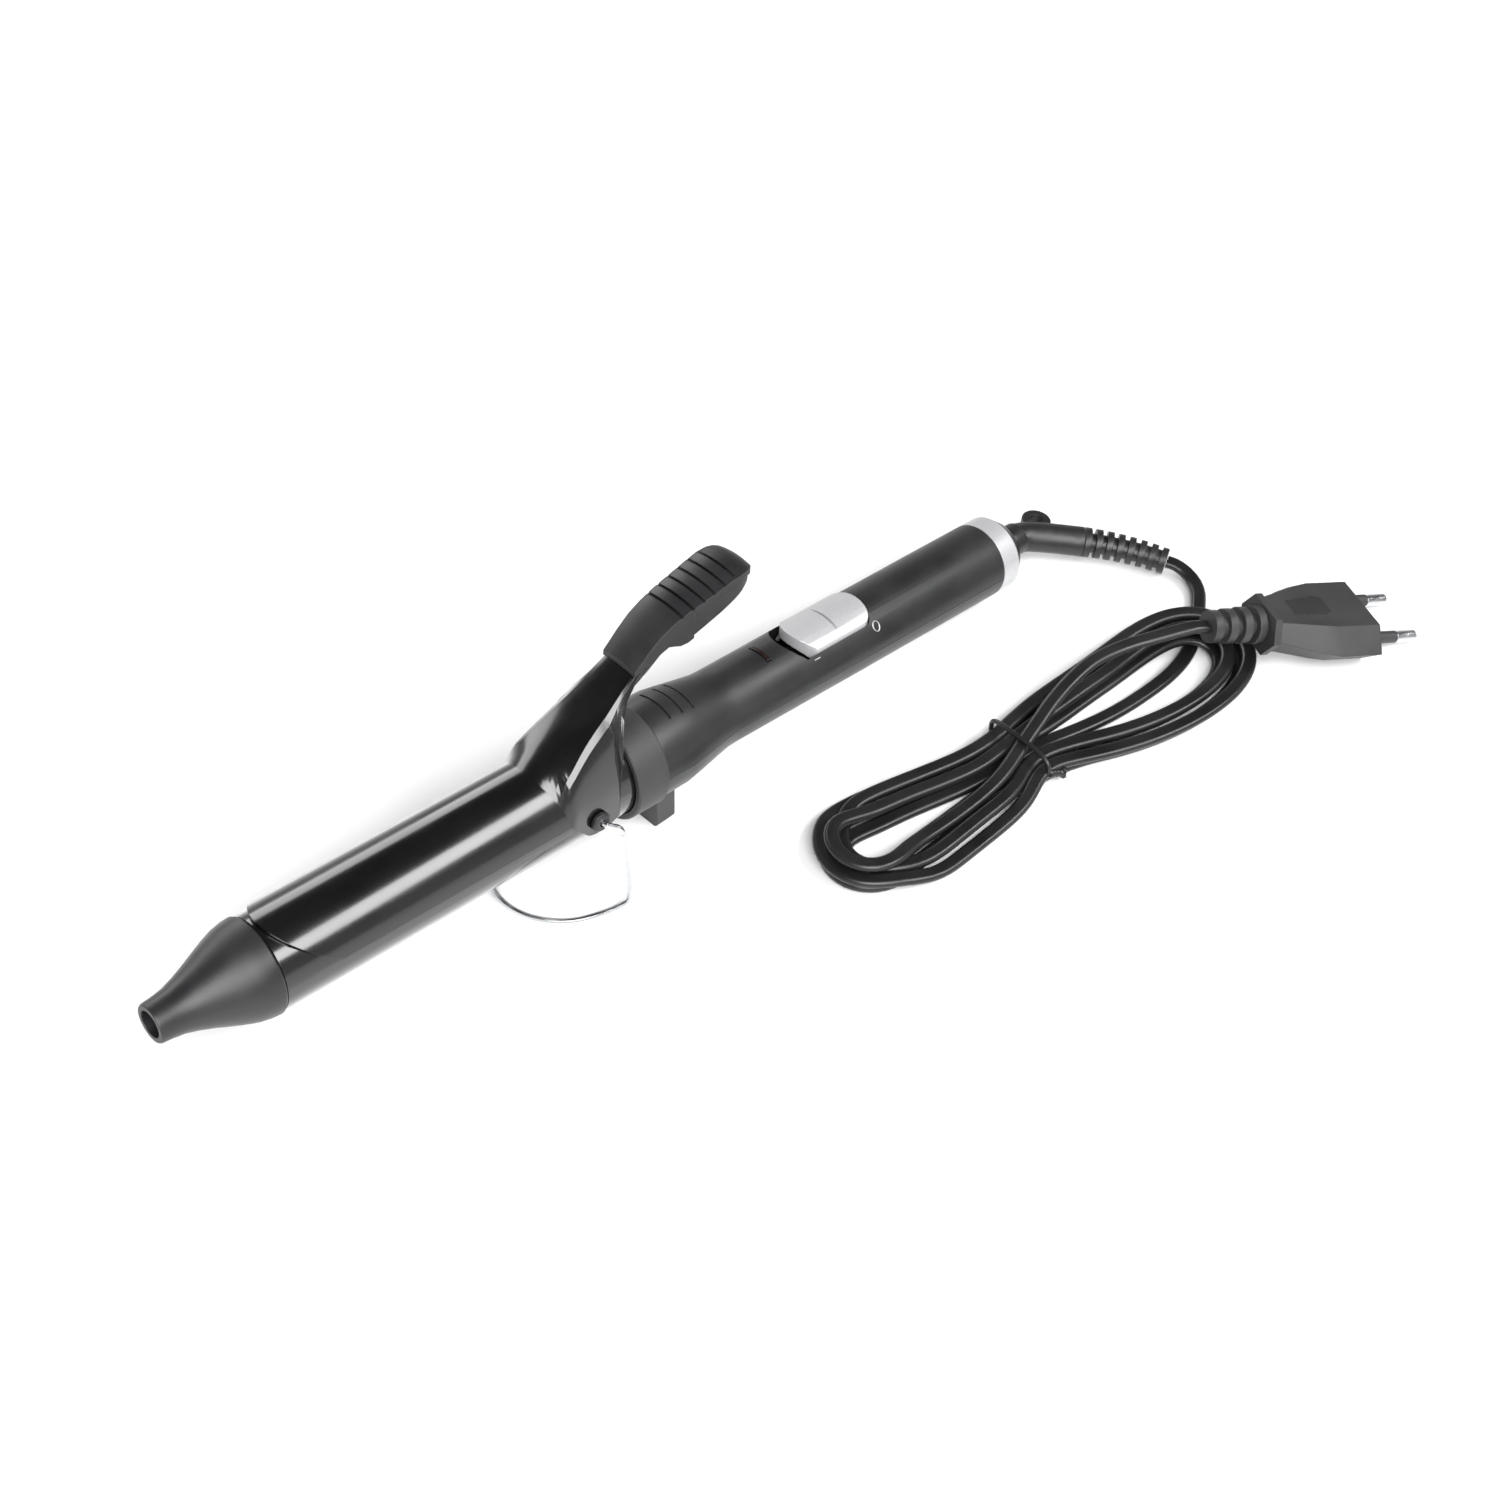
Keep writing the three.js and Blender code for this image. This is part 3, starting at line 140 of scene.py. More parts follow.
def round_section(radius):
    """An eight-sided section for wire."""
    return [(radius * math.cos(a), radius * math.sin(a)) for a in np.linspace(0, 2 * math.pi, 9)[:-1]]


def tube_faces(rings, n, closed=False):
    """Quads between neighbouring rings of n points, and from the last ring to the first when closed."""
    faces = []
    for i in range(rings if closed else rings - 1):
        here = i * n
        following = (i + 1) % rings * n
        for j in range(n):
            k = (j + 1) % n
            faces.append((here + j, here + k, following + k, following + j))
    return faces


def sweep(name, line, section):
    """A tube with closed ends, of the given section, (across, up) pairs, along a line of points."""
    line = np.array(line, float)
    along = np.gradient(line, axis=0)
    along /= np.linalg.norm(along, axis=1)[:, None]
    side = np.cross(np.array([0, 0, 1.0]), along)
    side /= np.linalg.norm(side, axis=1)[:, None]
    up = np.cross(along, side)
    vertices = []
    for centre, across, lift in zip(line, side, up):
        vertices += [centre + a * across + b * lift for a, b in section]
    n = len(section)
    faces = tube_faces(len(line), n)
    faces.append(tuple(reversed(range(n))))
    faces.append(tuple(range((len(line) - 1) * n, len(line) * n)))
    return mesh_object(name, vertices, faces, TUBE_SMOOTH_ANGLE)


# ---- The mains lead -----------------------------------------------------------------------------
LEAD_EXIT = (224.37, -43.38, 5.82)
LEAD = [
    LEAD_EXIT, (225.82, -46.7, 5.42), (226.6, -51.4, 4), (225.3, -56.6, 2.9), (221.9, -61.2, 2.3),
    (217, -65.2, 1.9), (211.6, -69, 1.9), (205.5, -73.4, 1.9), (196, -78.6, 1.9), (182, -81.8, 1.9),
    (166, -82, 1.9), (150, -80.8, 1.9), (134, -77.4, 1.9), (120, -73.6, 1.9),
]
TAIL = [
    (118, -71.4, 11), (128, -69.5, 14), (140, -68, 16.2), (152, -68.2, 18.2),
    (163, -72.4, 20.8), (173.5, -79.2, 23.6), (184.1, -85.9, 25.6), (189, -88.1, 24.2),
]
# The middle of the turns on each side of the tie, in the order the lead runs.
LEFT_IN = [(95, -64.4), (78, -60.4), (61, -55.8), (46.5, -53.3)]
LEFT_END = [(35, -54.6), (28.2, -61), (26.4, -69), (29.4, -76.4), (36, -80.6)]
LEFT_OUT = [(48, -81.8), (62, -82), (78, -81.6), (94, -81)]
RIGHT_OUT = [(124, -84.4), (141, -92.4), (159, -98), (177, -100.3), (193, -98.6)]
RIGHT_END = [(204.3, -92.6), (208.4, -84), (204.6, -75.4), (195.5, -69.2)]
RIGHT_IN = [(182, -66), (165, -65.3), (148, -64.6), (128, -64.4)]
RIGHT_HUMP = (0, 0, 0, 0, 0, 0.1, 0.6, 3.4, 3.7, 2.2, 0.8, 0.1, 0)  # where the turns ride over the lead
LAYERS = (1.9, 5.3, 8.7)  # heights of the lead's middle above the table, layer by layer

# Each pass round the left lobe: where it meets the tie going in, its (lane, layer) on the run in, at the end
# and on the run out, and where it meets the tie again, as (y, layer).
LEFT_PASSES = [
    ((-72.4, 0), (-1.3, 0), (-0.5, 0), (-1.2, 0), (-77.8, 0)),
    ((-67, 0), (-0.2, 0), (0.5, 0), (0, 0), (-83.2, 0)),
    ((-61.6, 0), (1, 0), (0.7, 1), (1.5, 0), (-83.2, 1)),
    ((-61.6, 1), (0.6, 1), (-0.5, 1), (0.5, 1), (-77.8, 1)),
    ((-67, 1), (-0.6, 1), (0.2, 2), (-0.6, 1), (-73.2, 2)),
]
RIGHT_PASSES = [(-0.8, 0), (0.5, 0), (0.9, 1), (-0.4, 1)]

SMOOTH_ROUNDS = 10
SMOOTH_SHARE = 0.25  # each neighbour's weight in one round of smoothing
SETTLE_ROUNDS = 160
SETTLE_STEP = 0.9
SETTLE_SHARE = 0.2  # each neighbour's weight in a move while settling
SETTLE_SPACING = (5.5, 3.3)  # the least distance between strands beside and above each other, as drawn
PAIRS_EVERY = 20  # rounds between searches for neighbours
PAIR_REACH = 3 * SETTLE_SPACING[0]
OWN_STRETCH = 14  # points nearer than this along the lead don't push each other
FIXED_ENDS = (20, 75)  # lengths at the lead's start and end that stay put
END_FADE = 20  # the length over which the lead becomes free to move
TABLE_GIVE = 0.2  # how far below its layer the lead may sink

CORE_STEPS = 8
CORE_TURN = 0.06
WAIST_SHARE = 0.78  # the waist's height as a share of a core's

TIE_AT = 109
TIE_MIDDLE = (-72.4, 6.3)
TIE_REACH = (14.5, 5.3)
TIE_LEAN = 1.2
TIE_SQUARING = (0.5, 0.62)  # powers that square off the tie's loop, across and up
TIE_RADIUS = 0.00075
TIE_STEPS = 64
TIE_END_STEPS = 26
TIE_END_PARTS_AT = 19  # the step up to which the two ends stay twisted together
TIE_END_TURN = 0.6
TIE_END_SPREAD = 0.22
TIE_END_RUN = np.array((0.25, -0.06, -0.1))
TIE_FOOT = np.array((TIE_AT - TIE_LEAN, TIE_MIDDLE[0] - TIE_REACH[0] - 0.2, TIE_MIDDLE[1] - 0.5))


def lanes(points, lane):
    """Points moved off the middle line by their lanes, outward from the loop."""
    p = np.array(points, float)
    along = np.gradient(p, axis=0)
    along /= np.linalg.norm(along, axis=1)[:, None]
    outward = np.stack([along[:, 1], -along[:, 0]], 1)
    return p + outward * (np.array(lane)[:, None] * CORD_LANE)


def left_pass(entry, run_in, end, run_out, leave):
    base = LEFT_IN + LEFT_END + LEFT_OUT
    stages = [run_in] * len(LEFT_IN) + [end] * len(LEFT_END) + [run_out] * len(LEFT_OUT)
    flat = lanes(base, [lane for lane, layer in stages])
    height = [LAYERS[layer] for lane, layer in stages]
    height[-1] = (height[-1] + LAYERS[leave[1]]) / 2
    points = [(TIE_AT, entry[0], LAYERS[entry[1]])]
    return points + [(x, y, z) for (x, y), z in zip(flat, height)]


def right_pass(leave, lane, layer):
    base = RIGHT_OUT + RIGHT_END + RIGHT_IN
    flat = lanes(base, [lane] * len(base))
    points = [(TIE_AT, leave[0], LAYERS[leave[1]])]
    return points + [(x, y, LAYERS[layer] + rise) for (x, y), rise in zip(flat, RIGHT_HUMP)]


def freedom(steps):
    """How freely each point may move, from 0 near the lead's two ends to 1 further in."""
    from_start = (steps - FIXED_ENDS[0]) / END_FADE
    from_end = (steps[-1] - FIXED_ENDS[1] - steps) / END_FADE
    return np.clip(np.minimum(from_start, from_end), 0, 1)[:, None]


def close_pairs(line, steps):
    """Points that are near each other, but not along the lead."""
    near = np.linalg.norm(line[:, None] - line[None], axis=-1) < PAIR_REACH
    return np.nonzero(near & (np.abs(steps[:, None] - steps[None]) > OWN_STRETCH))


def pushes(line, here, there):
    """The summed push on each point from the strands inside its spacing, and how many of them there are."""
    wide, high = SETTLE_SPACING
    gap = line[here] - line[there]
    flat = np.maximum(np.hypot(gap[:, 0], gap[:, 1]) / wide, 1e-4)
    lift = np.abs(gap[:, 2]) / high
    closeness = (flat ** 4 + lift ** 4) ** 0.25
    slope = gap * (flat ** 2)[:, None]
    slope[:, 2] = lift ** 3 * np.sign(gap[:, 2]) * wide * wide / high
    slope /= np.linalg.norm(slope, axis=1, keepdims=True) + 1e-6
    touching = closeness < 1
    push = slope * ((1 - closeness) * touching * high)[:, None]
    total = np.stack([np.bincount(here, push[:, axis], len(line)) for axis in range(3)], 1)
    return total, np.maximum(np.bincount(here, touching, len(line)), 1)[:, None]


def smoothed(values, share):
    """The inner points, each with its two neighbours mixed in."""
    return share * values[:-2] + (1 - 2 * share) * values[1:-1] + share * values[2:]


def settle(line):
    """Moves strands apart until none lies in another.
    Each stays smooth and on the table, and the lead's two ends stay where they are."""
    steps = np.concatenate([[0], np.cumsum(np.linalg.norm(np.diff(line, axis=0), axis=1))])
    hold = freedom(steps)
    start = line.copy()
    for _ in range(SMOOTH_ROUNDS):
        bend = SMOOTH_SHARE * start[:-2] - 2 * SMOOTH_SHARE * start[1:-1] + SMOOTH_SHARE * start[2:]
        start[1:-1] += hold[1:-1] * bend
    line = start.copy()
    for turn in range(SETTLE_ROUNDS):
        if turn % PAIRS_EVERY == 0:
            here, there = close_pairs(line, steps)
        total, number = pushes(line, here, there)
        moved = line - start + SETTLE_STEP * hold * total / number
        moved[1:-1] = smoothed(moved, SETTLE_SHARE)
        line = start + hold * moved
        line[:, 2] = np.maximum(line[:, 2], LAYERS[0] - TABLE_GIVE)
    return line


def lead_route():
    """The middle line of the whole lead, from the strain relief through the hank to the plug, in metres."""
    route = list(LEAD)
    for i, stages in enumerate(LEFT_PASSES):
        route += left_pass(*stages)
        if i < len(RIGHT_PASSES):
            route += right_pass(stages[-1], *RIGHT_PASSES[i])
    route.append((TIE_AT, LEFT_PASSES[-1][-1][0], LAYERS[2]))
    route += TAIL
    return settle(catmull(route, LEAD_STEP)) * DRAWN


def twin_section():
    """A flat twin lead: two round cores side by side with a shallow waist between them."""
    r = CORD_THICKNESS / 2
    shift = CORD_WIDTH / 2 - r
    section = []
    for side in (1, -1):
        for i in range(CORE_STEPS + 1):
            angle = -side * math.pi / 2 + math.pi * i / CORE_STEPS + CORE_TURN
            section.append((side * shift + r * math.cos(angle), r * math.sin(angle)))
        section.append((0, side * r * WAIST_SHARE))
    return section


def add_lead():
    line = lead_route()
    lead = sweep("mains_lead", line, twin_section())
    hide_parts("cord_lead", "cord_hank", "cord_tail")
    return lead, line


def tie_loop():
    """The tie's line round the waist: a rounded box that leans a little along the lead."""
    points = []
    for i in range(TIE_STEPS):
        angle = 2 * math.pi * i / TIE_STEPS
        c, s = math.cos(angle), math.sin(angle)
        y = TIE_MIDDLE[0] + TIE_REACH[0] * math.copysign(abs(c) ** TIE_SQUARING[0], c)
        z = TIE_MIDDLE[1] + TIE_REACH[1] * math.copysign(abs(s) ** TIE_SQUARING[1], s)
        points.append(np.array((TIE_AT + TIE_LEAN * c, y, z)) * DRAWN)
    return points


def add_tie_band(section):
    loop = tie_loop()
    side = np.array([1.0, 0, 0])
    vertices = []
    for i, centre in enumerate(loop):
        along = loop[(i + 1) % TIE_STEPS] - loop[i - 1]
        along /= np.linalg.norm(along)
        up = np.cross(along, side)
        up /= np.linalg.norm(up)
        vertices += [centre + a * side + b * up for a, b in section]
    faces = tube_faces(TIE_STEPS, len(section), closed=True)
    return mesh_object("waist_tie", vertices, faces, TUBE_SMOOTH_ANGLE)


def add_tie_end(number, start, section):
    """One of the tie's ends, twisted round the other and then parting from it."""
    line = []
    for i in range(TIE_END_STEPS):
        turn = start + i * TIE_END_TURN
        spread = TIE_RADIUS / DRAWN + max(0, i - TIE_END_PARTS_AT) * TIE_END_SPREAD
        offset = np.array((0, spread * math.cos(turn), spread * math.sin(turn)))
        line.append((TIE_FOOT + i * TIE_END_RUN + offset) * DRAWN)
    return sweep(f"tie_end_{number}", line, section)


def add_tie():
    """A wire tie drawn round the waist, with its two ends twisted together at the near side."""
    section = round_section(TIE_RADIUS)
    pieces = [add_tie_band(section)]
    pieces += [add_tie_end(number, start, section) for number, start in enumerate((0, math.pi), 1)]
    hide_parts("twist_tie")
    for piece in pieces:
        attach(piece, "handle")
    return pieces


# ---- Small details on the iron ------------------------------------------------------------------
MARK_SIDE = -0.0096  # across the handle from its middle, to the near side of the slider
MARK_LIFT = 0.00003  # above the handle's skin
MARK_HALF_WIDTH = 0.00024
MARK_HALF_HEIGHT = 0.00007
MARK_FLAT = 0.7  # the flat part of a mark's section, as a share of its width
OFF_BACK = -0.0028  # from the slider's rear
OFF_RADII = (0.00125, 0.00105)
OFF_STEPS = 25
ON_BACK = 0.0015  # from the slider's front
ON_LENGTH = 0.0024
ON_STEPS = 9

COIL_RADIUS = 0.0024
COIL_WIRE = 0.0004
COIL_FROM = 0.0121  # across from the iron's middle to the coil's first turn
COIL_STEPS = 60
COIL_TURN = 0.42
COIL_PITCH = 0.000018
COIL_LIFT = 0.0002

PLUG_ALONG = Vector((0.889, -0.385, -0.248)).normalized()
GRIP_COLUMNS = 20
GRIP_ROWS = 12
GRIP_FROM = -0.0285  # along the plug, from its face
GRIP_LENGTH = 0.0150
GRIP_HALF_WIDTH = 0.0042
GRIP_WIDENING = 0.0014
GRIP_NARROWS_FROM = 0.8
GRIP_NARROWING = 0.011
GRIP_SKIN_AT = (-0.035, -0.0215, -0.0155)  # along the plug, with the height of its top there
GRIP_SKIN = (0.0056, 0.0066, 0.00685)
GRIP_RAISED = 0.00012
GRIP_SUNK = -0.0003  # the panel's outermost edge lies in the plug
GRIP_EDGE = 0.03
DIMPLE_EDGE = 0.06
DIMPLE_DEPTH = 0.00018
DIMPLE_PITCH = 1.5


def on_handle(back, y):
    """A point just above the handle's skin, back metres behind the pivot along the axis."""
    height = math.sqrt(HANDLE_RADIUS ** 2 - y * y) + MARK_LIFT
    return PIVOT + AXIS * back + ACROSS * y + AXIS_UP * height


def mark_strip(name, line):
    half, high = MARK_HALF_WIDTH, MARK_HALF_HEIGHT
    flat = half * MARK_FLAT
    section = [(half, 0), (flat, high), (-flat, high), (-half, 0), (-flat, -high), (flat, -high)]
    strip = sweep(name, line, section)
    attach(strip, "handle")
    return strip


def add_switch_marks():
    """The off ring and the on dash beside the slider, lying on the handle's skin."""
    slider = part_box("switch_slider")
    rear = (slider[1].x - PIVOT.x) / AXIS.x + OFF_BACK
    front = (slider[0].x - PIVOT.x) / AXIS.x + ON_BACK
    ring = [
        on_handle(rear + OFF_RADII[0] * math.cos(a), MARK_SIDE + OFF_RADII[1] * math.sin(a))
        for a in np.linspace(0, 2 * math.pi, OFF_STEPS)
    ]
    dash = [on_handle(front + ON_LENGTH * t, MARK_SIDE) for t in np.linspace(0, 1, ON_STEPS)]
    return [mark_strip("mark_off", ring), mark_strip("mark_on", dash)]


def add_spring_ends():
    """The two coiled ends of the clip's spring, wound round the rivets inside the ears."""
    made = []
    for name, side in (("left", 1), ("right", -1)):
        line = []
        for i in range(COIL_STEPS):
            turn = i * COIL_TURN
            y = side * (COIL_FROM + i * COIL_PITCH)
            x = COIL_RADIUS * math.cos(turn)
            z = COIL_RADIUS * math.sin(turn) + COIL_LIFT
            line.append(PIVOT + Vector((x, y, z)))
        coil = sweep("spring_end_" + name, line, round_section(COIL_WIRE))
        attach(coil, "handle")
        made.append(coil)
    return made


def grip_point(i, j):
    """How far along, across and up from the plug's face a point of the finger panel lies."""
    u = i / GRIP_COLUMNS
    v = 2 * j / GRIP_ROWS - 1
    x = GRIP_FROM + GRIP_LENGTH * u
    wide = GRIP_HALF_WIDTH + GRIP_WIDENING * u - GRIP_NARROWING * max(0, u - GRIP_NARROWS_FROM)
    edge = min(u, 1 - u, (1 - abs(v)) / 2)
    height = float(np.interp(x, GRIP_SKIN_AT, GRIP_SKIN))
    height += GRIP_RAISED if edge > GRIP_EDGE else GRIP_SUNK
    if edge > DIMPLE_EDGE:
        height += DIMPLE_DEPTH * math.sin(i * math.pi / DIMPLE_PITCH) * math.sin(j * math.pi / DIMPLE_PITCH)
    return x, wide * v, height


def add_plug_grip():
    """The dimpled finger panel let into the top of the plug's body."""
    across = Vector((0, 0, 1)).cross(PLUG_ALONG).normalized()
    up = PLUG_ALONG.cross(across)
    face = Vector(frame["record"]["mounts"][1]["pos_m"])
    ring = GRIP_ROWS + 1
    vertices, faces = [], []
    for i in range(GRIP_COLUMNS + 1):
        for j in range(ring):
            x, y, z = grip_point(i, j)
            vertices.append(face + PLUG_ALONG * x + across * y + up * z)
    for i in range(GRIP_COLUMNS):
        for j in range(GRIP_ROWS):
            a = i * ring + j
            faces.append((a, a + ring, a + ring + 1, a + 1))
    panel = mesh_object("plug_grip", vertices, faces)
    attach(panel, "handle")
    return panel


# ---- Materials ----------------------------------------------------------------------------------
NOISE_RANGE = (0.3, 0.7)  # where most of a noise texture's values lie


def new_material(name):
    material = bpy.data.materials.new(name)
    material.use_nodes = True
    nodes = material.node_tree.nodes
    links = material.node_tree.links
    return material, nodes, links, nodes["Principled BSDF"]


def noise(nodes, links, scale, detail=4, stretch=(1, 1, 1)):
    coordinates = nodes.new("ShaderNodeTexCoord")
    mapping = nodes.new("ShaderNodeMapping")
    mapping.inputs["Scale"].default_value = stretch
    texture = nodes.new("ShaderNodeTexNoise")
    texture.inputs["Scale"].default_value = scale
    texture.inputs["Detail"].default_value = detail
    links.new(coordinates.outputs["Object"], mapping.inputs["Vector"])
    links.new(mapping.outputs["Vector"], texture.inputs["Vector"])
    return texture


def spread(nodes, links, source, low, high):
    """A texture's value mapped to a range."""
    mapper = nodes.new("ShaderNodeMapRange")
    mapper.inputs["From Min"].default_value = NOISE_RANGE[0]
    mapper.inputs["From Max"].default_value = NOISE_RANGE[1]
    mapper.inputs["To Min"].default_value = low
    mapper.inputs["To Max"].default_value = high
    links.new(source.outputs["Fac"], mapper.inputs["Value"])
    return mapper


def tint(nodes, links, source, dark, light):
    """A texture's value mapped to a range of colour."""
    ramp = nodes.new("ShaderNodeValToRGB")
    ramp.color_ramp.elements[0].position = NOISE_RANGE[0]
    ramp.color_ramp.elements[1].position = NOISE_RANGE[1]
    ramp.color_ramp.elements[0].color = (*dark, 1)
    ramp.color_ramp.elements[1].color = (*light, 1)
    links.new(source.outputs["Fac"], ramp.inputs["Fac"])
    return ramp


def relief(nodes, links, shader, source, strength, distance, rounded=0.0):
    """Bump from a texture, over edges softened by a bevel."""
    bump = nodes.new("ShaderNodeBump")
    bump.inputs["Strength"].default_value = strength
    bump.inputs["Distance"].default_value = distance
    links.new(source.outputs["Fac"], bump.inputs["Height"])
    if rounded:
        bevel = nodes.new("ShaderNodeBevel")
        bevel.samples = 6
        bevel.inputs["Radius"].default_value = rounded
        links.new(bevel.outputs["Normal"], bump.inputs["Normal"])
    links.new(bump.outputs["Normal"], shader.inputs["Normal"])


def moulded(name, dark, light, rough, grain_scale, grain, rounded):
    """Moulded plastic: fine eroded grain, slightly uneven sheen and colour, and softened edges."""
    material, nodes, links, shader = new_material(name)
    broad = noise(nodes, links, 60)
    links.new(tint(nodes, links, broad, dark, light).outputs["Color"], shader.inputs["Base Color"])
    links.new(spread(nodes, links, broad, *rough).outputs["Result"], shader.inputs["Roughness"])
    shader.inputs["Specular IOR Level"].default_value = 0.5
    relief(nodes, links, shader, noise(nodes, links, grain_scale, 2), grain, 0.0002, rounded)
    return material


def polished_black(name):
    """The barrel's and clip's coating: near mirror, with a faint haze from handling."""
    material, nodes, links, shader = new_material(name)
    haze = noise(nodes, links, 45, 6, (1, 3, 3))
    colour = tint(nodes, links, haze, (0.003, 0.003, 0.003), (0.005, 0.005, 0.005))
    links.new(colour.outputs["Color"], shader.inputs["Base Color"])
    links.new(spread(nodes, links, haze, 0.16, 0.24).outputs["Result"], shader.inputs["Roughness"])
    shader.inputs["Coat Weight"].default_value = 0.6
    shader.inputs["Coat Roughness"].default_value = 0.12
    relief(nodes, links, shader, noise(nodes, links, 260, 2), 0.05, 0.0001, 0.0002)
    return material


def metal(name, colour, rough, stretch, grain):
    """Bare or plated metal with drawn or turned marks."""
    material, nodes, links, shader = new_material(name)
    marks = noise(nodes, links, 90, 6, stretch)
    darker = tuple(0.86 * c for c in colour)
    links.new(tint(nodes, links, marks, darker, colour).outputs["Color"], shader.inputs["Base Color"])
    links.new(spread(nodes, links, marks, *rough).outputs["Result"], shader.inputs["Roughness"])
    shader.inputs["Metallic"].default_value = 1
    relief(nodes, links, shader, marks, grain, 0.0001, 0.00015)
    return material


def lacquer(name):
    """Silver lacquer on plastic: fine metallic flakes under a satin coat."""
    material, nodes, links, shader = new_material(name)
    flakes = noise(nodes, links, 5200, 1)
    colour = tint(nodes, links, flakes, (0.40, 0.40, 0.41), (0.52, 0.52, 0.53))
    links.new(colour.outputs["Color"], shader.inputs["Base Color"])
    sheen = spread(nodes, links, noise(nodes, links, 80), 0.32, 0.42)
    links.new(sheen.outputs["Result"], shader.inputs["Roughness"])
    shader.inputs["Metallic"].default_value = 0.35
    shader.inputs["Coat Weight"].default_value = 0.25
    relief(nodes, links, shader, flakes, 0.06, 0.0001, 0.00035)
    return material


def tinted_lens(name):
    """The indicator's dark window, with a faint reddish depth."""
    material, nodes, links, shader = new_material(name)
    depth = noise(nodes, links, 700, 2)
    colour = tint(nodes, links, depth, (0.010, 0.006, 0.006), (0.022, 0.012, 0.012))
    links.new(colour.outputs["Color"], shader.inputs["Base Color"])
    shader.inputs["Roughness"].default_value = 0.12
    shader.inputs["Coat Weight"].default_value = 0.5
    relief(nodes, links, shader, depth, 0.05, 0.0001, 0.0002)
    return material


USUAL_CRISP_ANGLE = 32
CRISP_ANGLE = {"clip_shell": 16}  # the turn, in degrees, that stays crisp, where it isn't the usual one

# Slot: darkest and lightest colour, roughness from and to, the grain's scale and strength, the softened edge.
PLASTICS = {
    "satin_black": ((0.009, 0.009, 0.010), (0.015, 0.015, 0.016), (0.36, 0.48), 2600, 0.16, 0.0003),
    "collar_grey": ((0.022, 0.022, 0.023), (0.032, 0.032, 0.033), (0.48, 0.6), 2100, 0.2, 0.0003),
    "ceramic": ((0.58, 0.54, 0.48), (0.72, 0.69, 0.63), (0.7, 0.85), 1500, 0.3, 0.0003),
    "cord_black": ((0.006, 0.006, 0.006), (0.011, 0.011, 0.011), (0.3, 0.44), 1700, 0.14, 0),
    "plug_grey": ((0.020, 0.020, 0.021), (0.030, 0.030, 0.031), (0.46, 0.6), 2300, 0.22, 0.0004),
    "grip_panel": ((0.006, 0.006, 0.006), (0.012, 0.012, 0.012), (0.7, 0.85), 1500, 0.6, 0),
}

# Slot: colour, roughness from and to, how the drawn marks are stretched, and their strength.
METALS = {
    "steel": ((0.72, 0.73, 0.75), (0.12, 0.28), (1, 1, 12), 0.05),
    "aluminium": ((0.62, 0.63, 0.64), (0.3, 0.5), (1, 12, 12), 0.12),
    "brass": ((0.72, 0.52, 0.22), (0.2, 0.4), (12, 1, 1), 0.08),
}


def make_materials():
    made = {
        "gloss_black": polished_black("gloss_black"),
        "silver": lacquer("silver"),
        "lens": tinted_lens("lens"),
    }
    for slot, looks in PLASTICS.items():
        made[slot] = moulded(slot, *looks)
    for slot, looks in METALS.items():
        made[slot] = metal(slot, *looks)
    return made


def shade_evenly(mesh, degrees):
    """Gives every corner the mean normal of the faces that meet at its point and turn less than the limit from
    its own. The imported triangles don't share vertices, so the mesh's own smoothing can't do it."""
    places = np.empty(len(mesh.vertices) * 3)
    mesh.vertices.foreach_get("co", places)
    places = np.round(places.reshape(-1, 3) * 1e6).astype(int)
    _, place_of = np.unique(places, axis=0, return_inverse=True)
    corners = place_of.ravel()[np.array([v for face in mesh.polygons for v in face.vertices])]
    faces = np.array([face.index for face in mesh.polygons for _ in face.vertices])
    normals = np.array([face.normal for face in mesh.polygons])
    areas = np.array([face.area for face in mesh.polygons])
    order = np.argsort(corners, kind="stable")
    edges = np.flatnonzero(np.diff(corners[order])) + 1
    limit = math.cos(math.radians(degrees))
    result = np.zeros((len(corners), 3))
    for group in np.split(order, edges):
        own = normals[faces[group]]
        alike = (own @ own.T) > limit
        mean = (alike * areas[faces[group]]) @ own
        result[group] = mean / np.maximum(np.linalg.norm(mean, axis=1, keepdims=True), 1e-12)
    mesh.shade_smooth()
    mesh.normals_split_custom_set(result.tolist())


def dress(materials, extras):
    """Gives every CAD node the material of its slot, and every new piece the one it names."""
    for entry in frame["record"]["subparts"]:
        node = frame["nodes"][entry["node"]]
        node.data.materials.clear()
        node.data.materials.append(materials[entry["material_slot"]])
        shade_evenly(node.data, CRISP_ANGLE.get(entry["node"], USUAL_CRISP_ANGLE))
    for piece, slot in extras:
        piece.data.materials.clear()
        piece.data.materials.append(materials[slot])


# ---- Studio -------------------------------------------------------------------------------------
FLOOR_HALF = 6
FLOOR_DROP = 0.0003  # keeps the floor just under the feet
LIGHTS_AIM = (0.03, -0.03, 0.02)
LIGHTS = {  # place, size and power in watts
    "key": ((-0.7, -1.0, 1.15), (1.2, 1.2), 46),
    "strip": ((0.42, -0.62, 0.72), (0.75, 0.34), 9),
    "rim": ((0.1, 1.3, 0.7), (1.6, 0.6), 12),
}
SKY_BRIGHT_UP_TO = 0.2  # heights in the sky, from the horizon to overhead
SKY_DARK_FROM = 0.62
SKY_DARK = 0.1
SKY_STRENGTH = 0.5


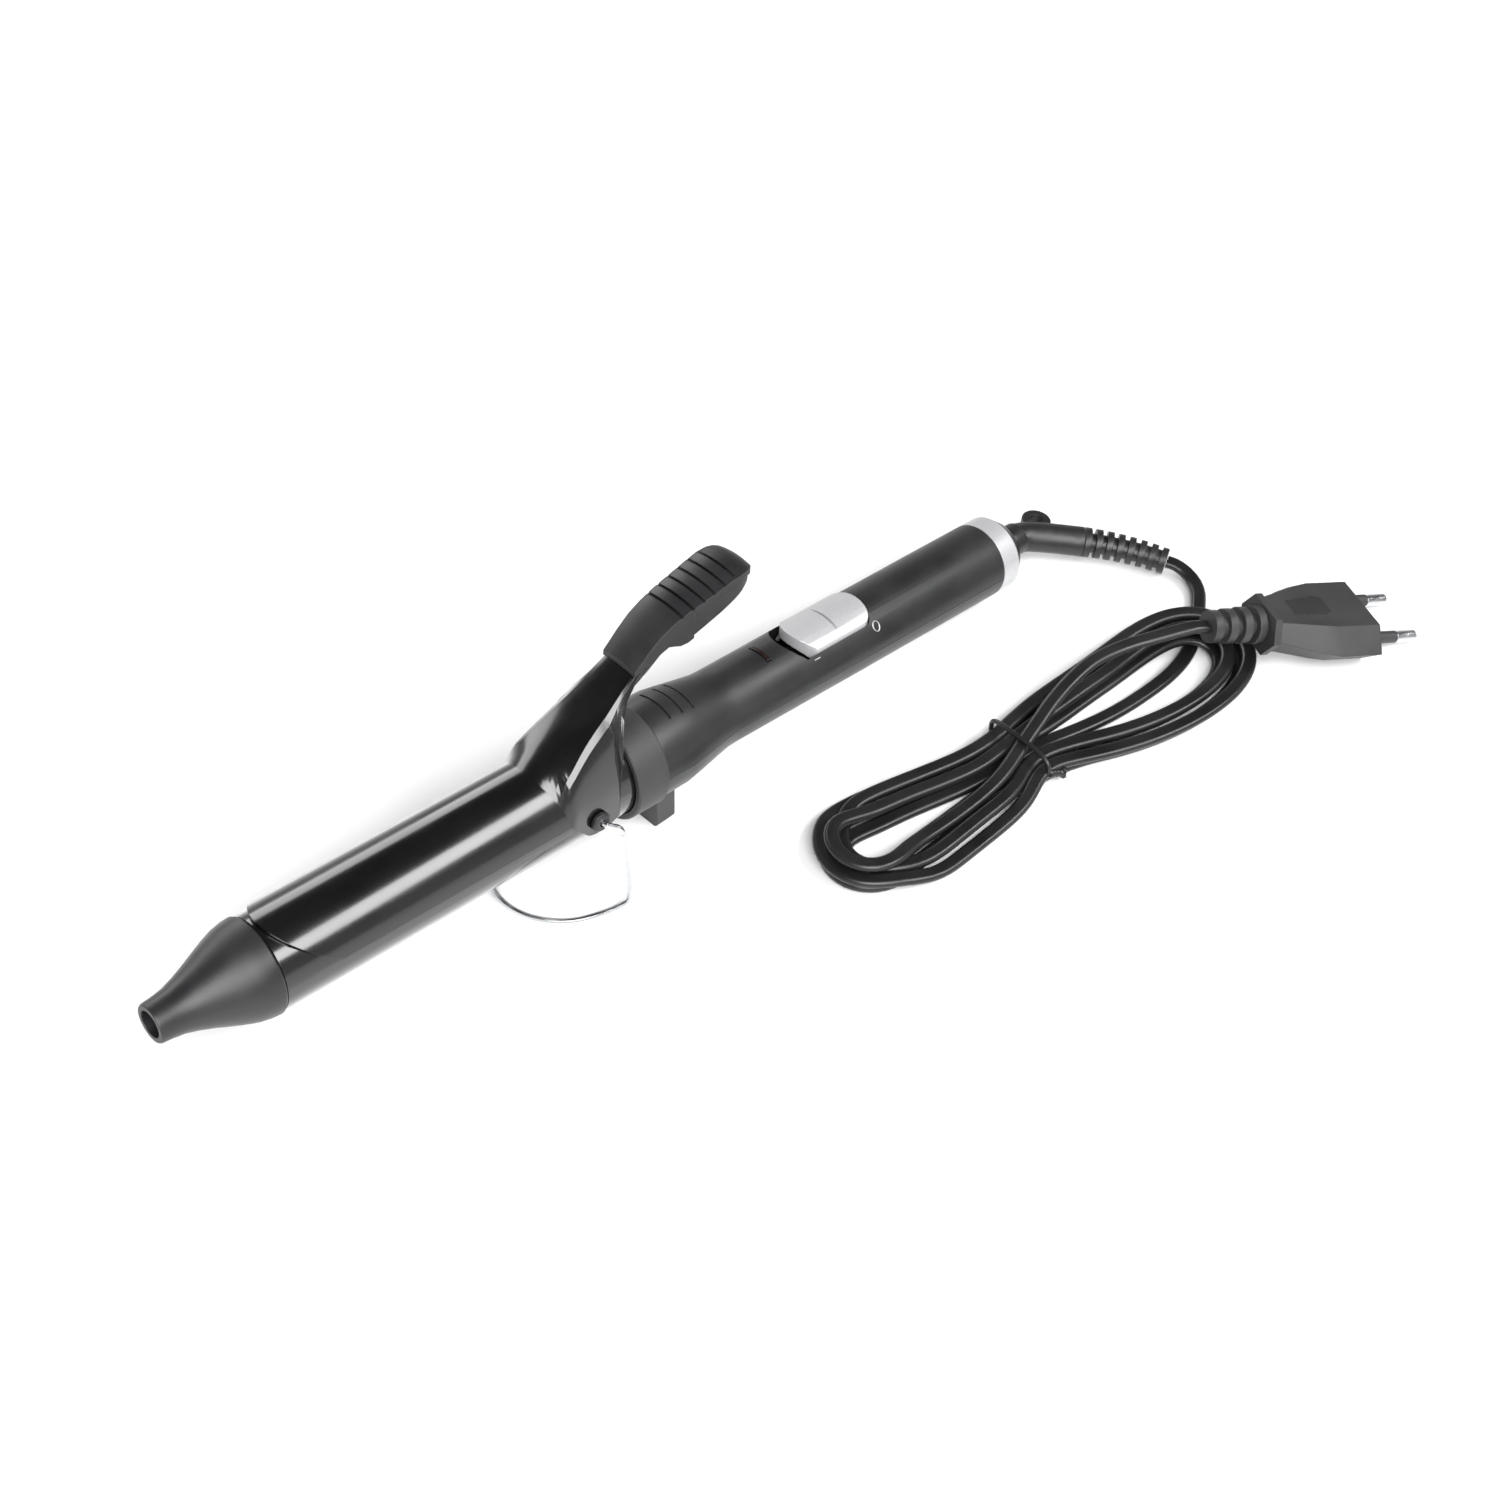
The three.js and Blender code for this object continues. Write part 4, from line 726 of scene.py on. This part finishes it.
def add_floor():
    half = FLOOR_HALF
    corners = [(-half, -half, 0), (half, -half, 0), (half, half, 0), (-half, half, 0)]
    floor = mesh_object("floor", corners, [(0, 1, 2, 3)])
    material, nodes, links, shader = new_material("floor")
    wear = noise(nodes, links, 3)
    colour = tint(nodes, links, wear, (0.86, 0.86, 0.86), (0.88, 0.88, 0.88))
    links.new(colour.outputs["Color"], shader.inputs["Base Color"])
    shader.inputs["Roughness"].default_value = 0.16
    shader.inputs["Specular IOR Level"].default_value = 0.35
    floor.data.materials.append(material)
    floor.location.z = -FLOOR_DROP


def add_softbox(name, place, size, watts):
    data = bpy.data.lights.new(name, "AREA")
    data.shape = "RECTANGLE"
    data.size, data.size_y = size
    data.energy = watts
    lamp = bpy.data.objects.new(name, data)
    lamp.location = place
    lamp.rotation_euler = (Vector(LIGHTS_AIM) - Vector(place)).to_track_quat("-Z", "Y").to_euler()
    bpy.context.scene.collection.objects.link(lamp)


def make_sky():
    """A room that is bright all round and dark overhead, so that the black gloss has something to show."""
    world = bpy.data.worlds.new("world")
    world.use_nodes = True
    nodes, links = world.node_tree.nodes, world.node_tree.links
    coordinates = nodes.new("ShaderNodeTexCoord")
    parts = nodes.new("ShaderNodeSeparateXYZ")
    ramp = nodes.new("ShaderNodeValToRGB")
    low, high = ramp.color_ramp.elements
    low.position, low.color = SKY_BRIGHT_UP_TO, (1, 1, 1, 1)
    high.position, high.color = SKY_DARK_FROM, (SKY_DARK, SKY_DARK, SKY_DARK, 1)
    links.new(coordinates.outputs["Generated"], parts.inputs["Vector"])
    links.new(parts.outputs["Z"], ramp.inputs["Fac"])
    background = nodes["Background"]
    links.new(ramp.outputs["Color"], background.inputs["Color"])
    background.inputs["Strength"].default_value = SKY_STRENGTH
    return world


def add_studio():
    add_floor()
    for name, (place, size, watts) in LIGHTS.items():
        add_softbox(name, place, size, watts)
    bpy.context.scene.world = make_sky()
    bpy.context.scene.view_settings.view_transform = "Standard"


def main():
    add_camera()
    lead, line = add_lead()
    ties = add_tie()
    marks = add_switch_marks()
    coils = add_spring_ends()
    grip = add_plug_grip()
    materials = make_materials()
    extras = [(lead, "cord_black"), (grip, "grip_panel")]
    extras += [(tie, "cord_black") for tie in ties]
    extras += [(mark, "silver") for mark in marks]
    extras += [(coil, "steel") for coil in coils]
    dress(materials, extras)
    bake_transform(lead)
    add_studio()


main()
